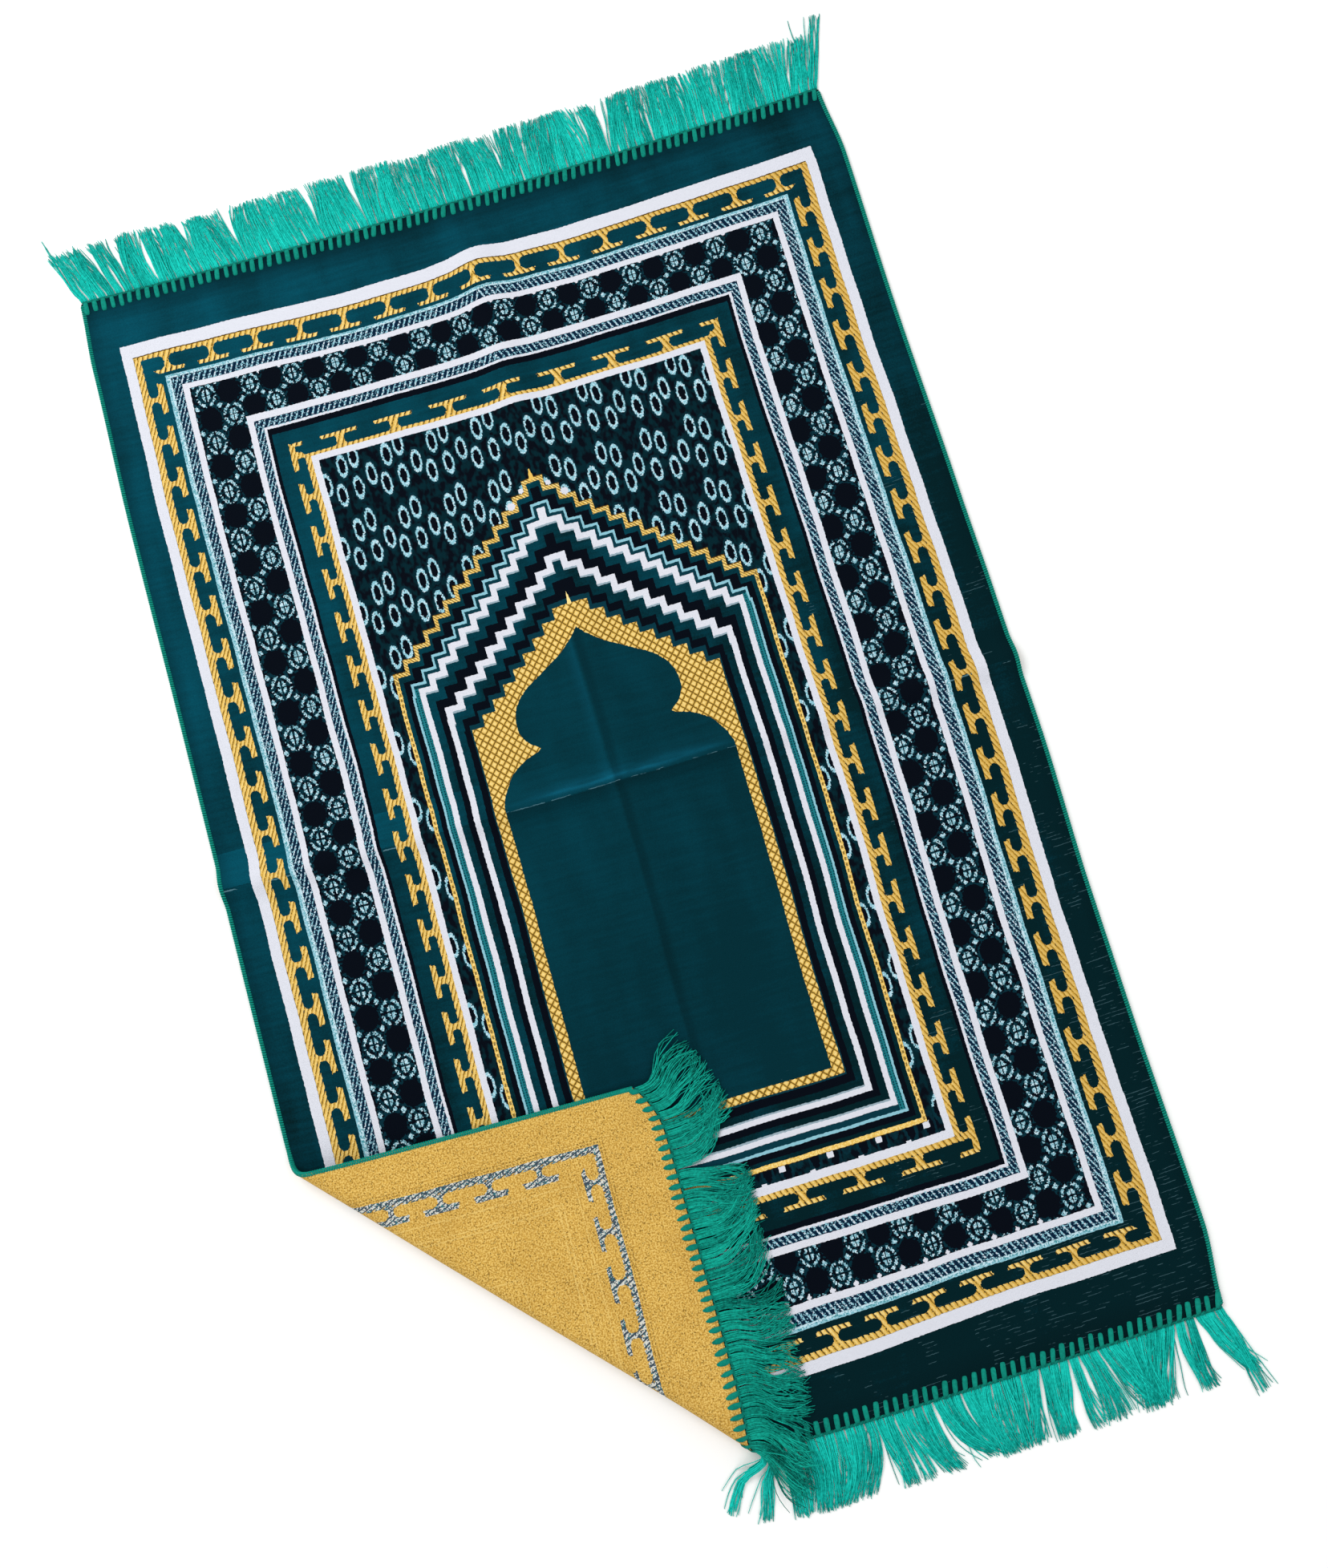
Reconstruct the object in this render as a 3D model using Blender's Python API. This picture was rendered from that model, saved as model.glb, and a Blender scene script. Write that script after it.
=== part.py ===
"""Prayer rug: a woven cloth laid flat with one corner turned over, and a fringe at each end.

Units are metres, +Z is up and the floor is Z = 0. +Y runs along the rug towards its head end and the
origin is the middle of the rug on the floor. Each piece is modelled on the flat, as it was cut, in
sheet coordinates (across, along, up), and one function then lays every point where it lies: the
turned corner, the two creases left from folding the rug in four, and the slight bow of the weave.
"""

import itertools
import math
import random

import bmesh
import bpy
from mathutils import Vector

# Cloth, as cut.
CLOTH_WIDTH = 0.680
CLOTH_LENGTH = 1.066
CLOTH_THICKNESS = 0.003

# Fringe: a narrow heading along each end that holds a row of yarn locks. The foot's heading is parted
# on the roll, between the locks that fall to the floor and those that lie on the face.
HEADING_GAP = 0.0004
HEADING_DEPTH = 0.004
HEADING_THICKNESS = 0.0026
LOCKS_PER_END = 85
LOCK_ROOT_WIDTH = 0.0046
LOCK_TIP_WIDTH = 0.0030
LOCK_TIP_THICKNESS = 0.0014
LOCK_LENGTH = 0.054
LOCK_LENGTH_SPREAD = 0.004
LOCK_RINGS = (0.22, 0.55, 1.0)
LOCK_CLEARANCE = 0.0010
TUFT_SIZES = (4, 6, 5, 7, 3, 6)
TUFT_DRAW = 0.36
TUFT_LEAN = math.radians(5.0)
FRINGE_SEED = 11

# Turned corner: the cloth rolls over a straight line and its corner lies back on the face.
FOLD_SIDE_END = (-0.340, -0.237)
FOLD_HEADING = math.radians(-45.2)
FOLD_RADIUS = 0.0095
FOLD_ARC_STEPS = 8
FLAP_CLEARANCE = 0.0014
FLAP_DESCENT = 0.085
FLAP_DESCENT_STEPS = 3
FLAP_SWELL = 0.0016
FLAP_SWELL_LENGTH = 0.130
TIP_REACH = 0.042
TIP_PULL = 0.015
TIP_LIFT = 0.003

# Creases from folding the rug in four: place, half width and height of each soft ridge.
CROSS_CREASE_ALONG = 0.003
CROSS_CREASE_HALF = 0.020
CROSS_CREASE_HEIGHT = 0.006
LONG_CREASE_ACROSS = 0.005
LONG_CREASE_HALF = 0.030
LONG_CREASE_HEIGHT = 0.005
LONG_CREASE_FOOT_HEIGHT = 0.0015
LONG_CREASE_EASE = (-0.220, -0.060)
CREASE_FADE = 0.060

# The weave bows towards the foot in the middle, and the sides are not quite straight.
WEFT_BOW = 0.007
SIDE_SWAY = (
    {"along": -0.533, "left": 0.000, "right": -0.004},
    {"along": -0.470, "left": 0.000, "right": 0.002},
    {"along": -0.300, "left": 0.000, "right": 0.000},
    {"along": -0.200, "left": 0.001, "right": 0.000},
    {"along": -0.060, "left": 0.001, "right": 0.003},
    {"along": 0.060, "left": 0.001, "right": 0.002},
    {"along": 0.150, "left": 0.001, "right": 0.001},
    {"along": 0.330, "left": 0.002, "right": -0.001},
    {"along": 0.470, "left": 0.000, "right": 0.000},
    {"along": 0.533, "left": -0.003, "right": -0.005},
)

# Locks rooted on the roll fall outwards to the floor up to this roll angle, and past it to the face.
FLOOR_FAN = math.radians(42.0)
FLOOR_FAN_END = math.radians(100.0)

# Long stray locks at the free corners: how far each leans to the right, and its length.
STRAY_LOCKS = {
    ("head", "left"): {"lean": math.radians(-26.0), "length": 0.070},
    ("head", "right"): {"lean": math.radians(14.0), "length": 0.070},
    ("foot", "right"): {"lean": math.radians(17.0), "length": 0.070},
}

# Spacing of the cloth's mesh lines.
COARSE_STEP = 0.075
FINE_STEP = 0.045
RIDGE_STEPS = 3

HALF_WIDTH = CLOTH_WIDTH / 2
HALF_LENGTH = CLOTH_LENGTH / 2
LOCK_PITCH = CLOTH_WIDTH / LOCKS_PER_END
ROOT_ALONG = HALF_LENGTH + HEADING_GAP + HEADING_DEPTH
ARC_HALF = math.pi * FOLD_RADIUS / 2
FOLD_OUT = Vector((math.sin(FOLD_HEADING), -math.cos(FOLD_HEADING)))

COLLECTION_NAME = "prayer_rug"
FINISHES = {
    "cloth": {"colour": (0.012, 0.075, 0.082), "roughness": 0.85},
    "fringe_top": {"colour": (0.020, 0.440, 0.330), "roughness": 0.70},
    "fringe_bottom": {"colour": (0.020, 0.400, 0.300), "roughness": 0.70},
    "fringe_flap": {"colour": (0.012, 0.300, 0.190), "roughness": 0.70},
}


def smooth(value):
    """Ease a value from 0 to 1, flat at both ends."""
    value = min(max(value, 0.0), 1.0)
    return value * value * (3.0 - 2.0 * value)


def ridge(distance, half_width):
    """Height of a soft ridge of height 1, at a distance from its crest."""
    if abs(distance) >= half_width:
        return 0.0
    return math.cos(math.pi * distance / (2.0 * half_width)) ** 2


def crease_lift(across, along):
    """How far the creases hold the cloth off the floor."""
    fade = smooth((HALF_LENGTH - abs(along)) / CREASE_FADE)
    low, high = LONG_CREASE_EASE
    head_share = smooth((along - low) / (high - low))
    long_height = LONG_CREASE_FOOT_HEIGHT + (LONG_CREASE_HEIGHT - LONG_CREASE_FOOT_HEIGHT) * head_share
    long_lift = long_height * fade * ridge(across - LONG_CREASE_ACROSS, LONG_CREASE_HALF)
    cross_lift = CROSS_CREASE_HEIGHT * ridge(along - CROSS_CREASE_ALONG, CROSS_CREASE_HALF)
    return max(cross_lift, long_lift)


def side_sway(across, along):
    """How far the uneven sides move a point across the rug."""
    rows = SIDE_SWAY
    along = min(max(along, rows[0]["along"]), rows[-1]["along"])
    share = (across / HALF_WIDTH + 1.0) / 2.0
    for low, high in zip(rows, rows[1:]):
        if along <= high["along"]:
            step = smooth((along - low["along"]) / (high["along"] - low["along"]))
            left = low["left"] + step * (high["left"] - low["left"])
            right = low["right"] + step * (high["right"] - low["right"])
            return right * share - left * (1.0 - share)
    return 0.0


def past_fold(across, along):
    """Distance of a sheet point beyond the fold line, positive in the turned corner."""
    return (Vector((across, along)) - Vector(FOLD_SIDE_END)).dot(FOLD_OUT)


def roll_angle(across, along):
    """Angle turned through the roll at a sheet point, 0 on the flat and pi on the flap."""
    return min(max((past_fold(across, along) + ARC_HALF) / FOLD_RADIUS, 0.0), math.pi)


def lay(across, along, up):
    """Place a point of the flat sheet where it lies: plan position and height."""
    plan = Vector((across, along))
    beyond = past_fold(across, along)
    middle = CLOTH_THICKNESS / 2
    height = up
    if beyond > -ARC_HALF:
        angle = roll_angle(across, along)
        radius = FOLD_RADIUS + middle - up
        run = max(beyond - ARC_HALF, 0.0)
        out = -ARC_HALF + radius * math.sin(angle) - run
        plan += FOLD_OUT * (out - beyond)
        drop = 2 * FOLD_RADIUS - CLOTH_THICKNESS - FLAP_CLEARANCE
        height = middle + FOLD_RADIUS - radius * math.cos(angle) - drop * smooth(run / FLAP_DESCENT)
        height += flap_swell(across, along, run)
        plan, height = curl_tip(across, along, plan, height)
    place = Vector((plan.x, plan.y, height))
    place.z += crease_lift(plan.x, plan.y)
    place.x += side_sway(plan.x, plan.y)
    place.y -= WEFT_BOW * (1.0 - (plan.x / HALF_WIDTH) ** 2)
    return place


def flap_swell(across, along, run):
    """Low waves in the part of the flap that lies back on the face."""
    phase = math.pi * (across + along) / FLAP_SWELL_LENGTH
    return FLAP_SWELL * math.sin(phase) ** 2 * smooth(run / FLAP_DESCENT)


def curl_tip(across, along, plan, height):
    """Draw the flap's tip in towards the fold and lift it a little."""
    from_tip = math.hypot(across + HALF_WIDTH, along + HALF_LENGTH)
    pull = max(1.0 - from_tip / TIP_REACH, 0.0) ** 2
    return plan - Vector((TIP_PULL * pull, 0.0)), height + TIP_LIFT * pull


def cut_lines(low, high, step, extra):
    """Mesh line places from low to high, even steps plus the extra ones."""
    count = max(round((high - low) / step), 1)
    lines = [low + (high - low) * index / count for index in range(1, count)]
    return lines + [place for place in extra if low < place < high]


def ridge_lines(crest, half_width):
    """Mesh line places that carry one soft ridge."""
    return [crest + half_width * step / RIDGE_STEPS for step in range(-RIDGE_STEPS, RIDGE_STEPS + 1)]


def slice_mesh(mesh, point, normal):
    """Cut every face of a mesh along a plane and keep both sides."""
    geometry = mesh.verts[:] + mesh.edges[:] + mesh.faces[:]
    bmesh.ops.bisect_plane(mesh, geom=geometry, plane_co=point, plane_no=normal, dist=1e-7)


def add_box(mesh, low, high):
    """Add a box between two corners."""
    made = bmesh.ops.create_cube(mesh, size=1.0)
    size = Vector(high) - Vector(low)
    bmesh.ops.scale(mesh, vec=size, verts=made["verts"])
    bmesh.ops.translate(mesh, vec=(Vector(low) + Vector(high)) / 2, verts=made["verts"])


def finish_object(name, mesh, collection):
    """Turn a bmesh into a named object with its own material."""
    bmesh.ops.recalc_face_normals(mesh, faces=mesh.faces[:])
    data = bpy.data.meshes.new(name)
    mesh.to_mesh(data)
    mesh.free()
    data.set_sharp_from_angle(angle=math.radians(40.0))
    piece = bpy.data.objects.new(name, data)
    collection.objects.link(piece)
    finish = FINISHES[name]
    material = bpy.data.materials.new(name)
    material.use_nodes = True
    shader = material.node_tree.nodes["Principled BSDF"]
    shader.inputs["Base Color"].default_value = (*finish["colour"], 1.0)
    shader.inputs["Roughness"].default_value = finish["roughness"]
    shader.inputs["Metallic"].default_value = 0.0
    data.materials.append(material)
    return piece


def make_cloth(collection):
    """The woven cloth: one sheet, cut flat, then laid with its corner turned over."""
    mesh = bmesh.new()
    add_box(mesh, (-HALF_WIDTH, -HALF_LENGTH, 0.0), (HALF_WIDTH, HALF_LENGTH, CLOTH_THICKNESS))

    across = cut_lines(-HALF_WIDTH, 0.0, FINE_STEP, [])
    across += cut_lines(LONG_CREASE_HALF, HALF_WIDTH, COARSE_STEP, [])
    across = [place for place in across if abs(place - LONG_CREASE_ACROSS) > LONG_CREASE_HALF]
    for place in across + ridge_lines(LONG_CREASE_ACROSS, LONG_CREASE_HALF):
        slice_mesh(mesh, (place, 0.0, 0.0), (1.0, 0.0, 0.0))

    along = cut_lines(-HALF_LENGTH, FOLD_SIDE_END[1], FINE_STEP, [])
    along += cut_lines(FOLD_SIDE_END[1], HALF_LENGTH, COARSE_STEP, [FOLD_SIDE_END[1] + FINE_STEP])
    along = [place for place in along if abs(place - CROSS_CREASE_ALONG) > CROSS_CREASE_HALF]
    along += [HALF_LENGTH - CREASE_FADE / 2, CREASE_FADE / 2 - HALF_LENGTH]
    for place in along + ridge_lines(CROSS_CREASE_ALONG, CROSS_CREASE_HALF):
        slice_mesh(mesh, (0.0, place, 0.0), (0.0, 1.0, 0.0))

    beyond = [ARC_HALF * (2 * step / FOLD_ARC_STEPS - 1) for step in range(FOLD_ARC_STEPS + 1)]
    beyond += [ARC_HALF + FLAP_DESCENT * (step + 1) / FLAP_DESCENT_STEPS for step in range(FLAP_DESCENT_STEPS)]
    fold_normal = FOLD_OUT.to_3d()
    for distance in beyond:
        point = Vector(FOLD_SIDE_END).to_3d() + fold_normal * distance
        slice_mesh(mesh, point, fold_normal)

    for vertex in mesh.verts:
        vertex.co = lay(*vertex.co)
    return finish_object("cloth", mesh, collection)


def lock_across(index):
    """Place of a lock's middle across the sheet."""
    return -HALF_WIDTH + LOCK_PITCH * (index + 0.5)


def first_floor_lock():
    """Index of the first foot lock that falls to the floor and not onto the face."""
    for index in range(LOCKS_PER_END):
        if roll_angle(lock_across(index), -ROOT_ALONG) < FLOOR_FAN_END:
            return index
    return LOCKS_PER_END


class Lock:
    """One lock of fringe yarn: where it is rooted, which way it runs and what it comes to rest on."""

    def __init__(self, index, end, style):
        self.across = lock_across(index)
        self.end_sign = 1.0 if end == "head" else -1.0
        root_along = self.end_sign * ROOT_ALONG
        root_mid = HEADING_THICKNESS / 2
        self.root = lay(self.across, root_along, root_mid)
        ahead = lay(self.across, root_along + self.end_sign * 0.001, root_mid)
        beside = lay(self.across + 0.001, root_along, root_mid)
        above = lay(self.across, root_along, root_mid + 0.001)
        self.root_ahead = (ahead - self.root).normalized()
        self.root_side = (beside - self.root).normalized()
        self.root_up = (above - self.root).normalized()
        self.angle = roll_angle(self.across, root_along) if end == "foot" else 0.0
        heading = math.atan2(ahead.y - self.root.y, ahead.x - self.root.x)
        if 0.0 < self.angle < FLOOR_FAN_END:
            heading = -math.pi / 2 - FLOOR_FAN * self.angle / FLOOR_FAN_END
        self.on_face = self.angle >= FLOOR_FAN_END
        self.face_sign = -1.0 if self.on_face else 1.0
        self.heading = heading - self.end_sign * style["lean"]
        self.draw = style["draw"]
        self.length = style["length"]

    def rest_height(self, plan):
        """Height of what lies under the lock: the floor, or the cloth's face."""
        if not self.on_face:
            return 0.0
        return CLOTH_THICKNESS + LOCK_CLEARANCE + crease_lift(plan.x, plan.y)

    def ring_point(self, share, side, up):
        """A point of the lock at a share of its length, side and up being flat offsets from its root."""
        forward = Vector((math.cos(self.heading), math.sin(self.heading)))
        sideways = Vector((-forward.y, forward.x)) * -self.end_sign * self.face_sign
        distance = self.length * share
        plan = self.root.to_2d() + forward * distance + sideways * self.draw * share ** 1.5
        settle = smooth(share / LOCK_RINGS[1])
        thickness = HEADING_THICKNESS + (LOCK_TIP_THICKNESS - HEADING_THICKNESS) * share
        width = LOCK_ROOT_WIDTH + (LOCK_TIP_WIDTH - LOCK_ROOT_WIDTH) * share
        free = self.root + self.root_ahead * distance
        rest = Vector((plan.x, plan.y, self.rest_height(plan) + thickness / 2))
        centre = free.lerp(rest, settle)
        side_axis = self.root_side.lerp(sideways.to_3d(), settle).normalized()
        up_axis = self.root_up.lerp(Vector((0.0, 0.0, self.face_sign)), settle).normalized()
        side_offset = side_axis * side * width / LOCK_ROOT_WIDTH
        return centre + side_offset + up_axis * up * thickness / HEADING_THICKNESS


def lock_styles(end):
    """Lean, sideways draw and length of every lock at one end, gathered loosely into tufts."""
    chance = random.Random(f"{FRINGE_SEED}{end}")
    styles = []
    for size in itertools.cycle(TUFT_SIZES):
        lean = chance.uniform(-TUFT_LEAN, TUFT_LEAN)
        tuft_length = LOCK_LENGTH + chance.uniform(-LOCK_LENGTH_SPREAD, LOCK_LENGTH_SPREAD)
        for place in range(size):
            draw = ((size - 1) / 2 - place) * LOCK_PITCH * TUFT_DRAW
            length = tuft_length + chance.uniform(0.0, LOCK_LENGTH_SPREAD) / 2
            styles.append({"lean": lean, "draw": draw, "length": length})
        if len(styles) >= LOCKS_PER_END:
            break
    styles = styles[:LOCKS_PER_END]
    for (stray_end, side), stray in STRAY_LOCKS.items():
        if stray_end == end:
            styles[0 if side == "left" else -1] = {**stray, "draw": 0.0}
    return styles


def make_fringe(name, end, first, last, collection):
    """A stretch of fringe from one lock up to another: a heading strip and the locks that grow from it."""
    end_sign = 1.0 if end == "head" else -1.0
    near = end_sign * (HALF_LENGTH + HEADING_GAP)
    far = end_sign * ROOT_ALONG
    strip_start = lock_across(first) - LOCK_PITCH / 2 + (HEADING_GAP / 2 if first > 0 else 0.0)
    strip_end = lock_across(last) - LOCK_PITCH / 2 - (HEADING_GAP / 2 if last < LOCKS_PER_END else 0.0)
    mesh = bmesh.new()
    low = (strip_start, min(near, far), 0.0)
    high = (strip_end, max(near, far), HEADING_THICKNESS)
    add_box(mesh, low, high)
    for index in range(first, last):
        for edge in (-LOCK_ROOT_WIDTH / 2, LOCK_ROOT_WIDTH / 2):
            slice_mesh(mesh, (lock_across(index) + edge, 0.0, 0.0), (1.0, 0.0, 0.0))

    placed = {vertex: lay(*vertex.co) for vertex in mesh.verts}
    styles = lock_styles(end)
    for index in range(first, last):
        lock = Lock(index, end, styles[index])
        root = next(
            face for face in mesh.faces
            if face.normal.y * end_sign > 0.9
            and abs(face.calc_center_median().x - lock.across) < LOCK_ROOT_WIDTH / 4
            and abs(face.calc_center_median().y - far) < HEADING_DEPTH / 4
        )
        for share in LOCK_RINGS:
            made = bmesh.ops.extrude_discrete_faces(mesh, faces=[root])
            root = made["faces"][0]
            for vertex in root.verts:
                side = vertex.co.x - lock.across
                up = vertex.co.z - HEADING_THICKNESS / 2
                placed[vertex] = lock.ring_point(share, side, up)
    for vertex, place in placed.items():
        vertex.co = place
    return finish_object(name, mesh, collection)


def clear_scene():
    """Remove every object, so the script starts from an empty scene."""
    for piece in list(bpy.data.objects):
        bpy.data.objects.remove(piece, do_unlink=True)


def main():
    """Build the rug in a collection of its own."""
    clear_scene()
    collection = bpy.data.collections.new(COLLECTION_NAME)
    bpy.context.scene.collection.children.link(collection)
    make_cloth(collection)
    parting = first_floor_lock()
    make_fringe("fringe_top", "head", 0, LOCKS_PER_END, collection)
    make_fringe("fringe_bottom", "foot", parting, LOCKS_PER_END, collection)
    make_fringe("fringe_flap", "foot", 0, parting, collection)


main()
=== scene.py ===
"""Prayer rug: the looks of the woven cloth, its sewn edges and its yarn fringe.

The rug frame is in metres, +Z is up and the floor is Z = 0. +Y runs along the rug to its head end and
the origin is the middle of the rug. Every piece is made on the flat sheet, as the weaver and the
sewer made it, in sheet coordinates (across, along, up), and the lay of the rug then puts each point
where it lies. Woven patterns are drafted in millimetres of that flat sheet.
"""

import functools
import itertools
import logging
import math
import operator
import random
from dataclasses import dataclass
from enum import Enum

import bpy
import numpy as np
from mathutils import Matrix, Vector


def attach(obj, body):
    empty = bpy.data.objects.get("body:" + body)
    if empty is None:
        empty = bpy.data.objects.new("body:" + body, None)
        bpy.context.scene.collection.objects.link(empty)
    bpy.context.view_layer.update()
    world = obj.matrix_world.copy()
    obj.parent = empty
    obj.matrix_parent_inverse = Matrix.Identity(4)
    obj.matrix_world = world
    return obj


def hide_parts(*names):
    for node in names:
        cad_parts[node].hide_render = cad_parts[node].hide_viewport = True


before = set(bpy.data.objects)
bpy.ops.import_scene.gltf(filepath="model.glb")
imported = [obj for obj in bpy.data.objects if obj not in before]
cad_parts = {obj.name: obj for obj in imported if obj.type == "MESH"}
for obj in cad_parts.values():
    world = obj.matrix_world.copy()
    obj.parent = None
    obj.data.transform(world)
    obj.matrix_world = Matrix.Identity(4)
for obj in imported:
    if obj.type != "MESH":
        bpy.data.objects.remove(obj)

LOG = logging.getLogger("prayer_rug")
PLAN_MAP = "PlanMillimetres"
BAKE_MAP = "OFBake"
TONE = "strand_tone"
MILLIMETRE = 0.001
PROBE = 0.0005  # short step on the sheet that shows which way it faces, in metres


class Dye(Enum):
    """Yarn colours, as sRGB hex, and a few tones that stand for painted sheen and painted shade."""

    EMERALD_DEEP = "#011E23"
    EMERALD = "#02343F"
    # the lighter emerald; on the pile it also carries the painted sheen
    EMERALD_LIGHT = "#02495A"
    # painted sheen: the light emerald beside the creases of the niche
    EMERALD_PAINTED_SHEEN = "#0C617B"
    # darkest emerald: painted shade near the stitches, the sides and in the creases, and the darkest tone of
    # the cut edge
    EMERALD_SHADE = "#01171B"
    NAVY_BLACK = "#040812"
    NAVY = "#061F36"
    PETROL = "#06333F"
    MOSS = "#03222A"
    WHITE = "#D3D5DE"
    SILVER = "#8FA3AE"
    CYAN = "#85BAC8"
    FROST = "#BCD8E2"
    SEA = "#1F7F88"
    GOLD = "#DFB75A"
    GOLD_LIGHT = "#F0D68C"
    GOLD_DEEP = "#B98C30"
    BROWN = "#573C08"
    MUSTARD = "#D3A950"
    MUSTARD_LIGHT = "#E8C673"
    MUSTARD_DEEP = "#9C6F25"
    SLATE = "#3C4A55"
    BONE = "#CFCFC6"
    FRINGE = "#1AD2C2"
    FRINGE_DEEP = "#007C72"
    # the fringe yarn with painted shade, for the fringe of the turned corner
    SHADED = "#14B49E"
    SHADED_DEEP = "#004A42"
    STITCH = "#0D8C7A"
    STITCH_DEEP = "#025A4F"
    CORD = "#054842"
    SERGING = "#11917F"


def linear(hex_colour: str, alpha: float = 1.0) -> tuple[float, float, float, float]:
    """Turn an sRGB hex colour into linear light.

    Args:
        hex_colour: Colour as "#RRGGBB".
        alpha: How much of the colour there is, 0 to 1.

    Returns:
        Red, green, blue and alpha.
    """
    shares = [int(hex_colour[place : place + 2], 16) / 255 for place in (1, 3, 5)]
    light = [s / 12.92 if s <= 0.04045 else ((s + 0.055) / 1.055) ** 2.4 for s in shares]
    return (*light, alpha)


class Signal:
    """A number that changes over the cloth: one output of a finish's nodes, with plain arithmetic."""

    def __init__(self, tree: bpy.types.NodeTree, socket: bpy.types.NodeSocket) -> None:
        """Hold the socket that carries the number."""
        self.tree = tree
        self.socket = socket

    def reckon(self, operation: str, *others: "Signal | float") -> "Signal":
        """Work a sum on this signal.

        Args:
            operation: Name of the sum.
            others: Its further terms.

        Returns:
            The result as a signal.
        """
        terms = dict(enumerate((self, *others)))
        node = add_node(self.tree, "ShaderNodeMath", {"operation": operation}, terms)
        return Signal(self.tree, node.outputs[0])

    def __add__(self, other: "Signal | float") -> "Signal":
        """Sum."""
        return self.reckon("ADD", other)

    def __sub__(self, other: "Signal | float") -> "Signal":
        """Difference."""
        return self.reckon("SUBTRACT", other)

    def __mul__(self, other: "Signal | float") -> "Signal":
        """Product."""
        return self.reckon("MULTIPLY", other)

    def __and__(self, other: "Signal | float") -> "Signal":
        """Where both masks are."""
        return self.reckon("MULTIPLY", other)

    def __or__(self, other: "Signal | float") -> "Signal":
        """Where either mask is."""
        return self.reckon("MAXIMUM", other)

    def __invert__(self) -> "Signal":
        """Where the mask isn't."""
        return self.reckon("MULTIPLY_ADD", -1.0, 1.0)

    def __gt__(self, other: "Signal | float") -> "Signal":
        """Mask of where this is the larger."""
        return self.reckon("GREATER_THAN", other)

    def __lt__(self, other: "Signal | float") -> "Signal":
        """Mask of where this is the smaller."""
        return self.reckon("LESS_THAN", other)

    def size(self) -> "Signal":
        """The signal without its sign."""
        return self.reckon("ABSOLUTE")

    def near(self, middle: "Signal | float", reach: float) -> "Signal":
        """Mask of where this is within reach of a middle value."""
        return self.reckon("COMPARE", middle, reach)

    def repeated(self, pitch: float) -> "Signal":
        """The signal folded into repeats about 0, each one pitch long."""
        return self.reckon("WRAP", pitch / 2, -pitch / 2)

    def scaled(self, factor: float, shift: float = 0.0) -> "Signal":
        """The signal times a factor, plus a shift."""
        return self.reckon("MULTIPLY_ADD", factor, shift)

    def levelled(self, spread: float) -> "Signal":
        """A signal about 0.5 brought to about 0, with a spread."""
        return self.scaled(spread, -spread / 2)


def add_node(
    tree: bpy.types.NodeTree, kind: str, settings: dict | None = None, links: dict | None = None
) -> bpy.types.Node:
    """Add a node with its settings, and feed its inputs.

    Args:
        tree: Node tree of the finish.
        kind: Type of the node.
        settings: Property names and values.
        links: Input names or places, each with a signal, a socket or a plain value.

    Returns:
        The new node.
    """
    node = tree.nodes.new(kind)
    for name, value in (settings or {}).items():
        setattr(node, name, value)
    for place, value in (links or {}).items():
        value = value.socket if isinstance(value, Signal) else value
        if isinstance(value, bpy.types.NodeSocket):
            tree.links.new(value, node.inputs[place])
        else:
            node.inputs[place].default_value = value
    return node


def fill_ramp(node: bpy.types.Node, stops: list[tuple], interpolation: str) -> None:
    """Set the stops of a colour ramp.

    Args:
        node: The ramp's node.
        stops: Place from 0 to 1 and RGBA colour of each stop, in order.
        interpolation: "CONSTANT" for woven stripes, "LINEAR" for a gradual change.
    """
    ramp = node.color_ramp
    ramp.interpolation = interpolation
    ramp.elements.remove(ramp.elements[-1])
    for number, (place, colour) in enumerate(stops):
        element = ramp.elements[0] if number == 0 else ramp.elements.new(place)
        element.position = place
        element.color = colour


def ease(value: np.ndarray) -> np.ndarray:
    """Ease values from 0 to 1, flat at both ends."""
    value = np.clip(value, 0.0, 1.0)
    return value * value * (3.0 - 2.0 * value)


def ridge(distance: np.ndarray, half_width: float) -> np.ndarray:
    """Height of a soft ridge of height 1, at distances from its crest."""
    inside = np.abs(distance) < half_width
    return np.where(inside, np.cos(np.pi * distance / (2.0 * half_width)) ** 2, 0.0)


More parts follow.
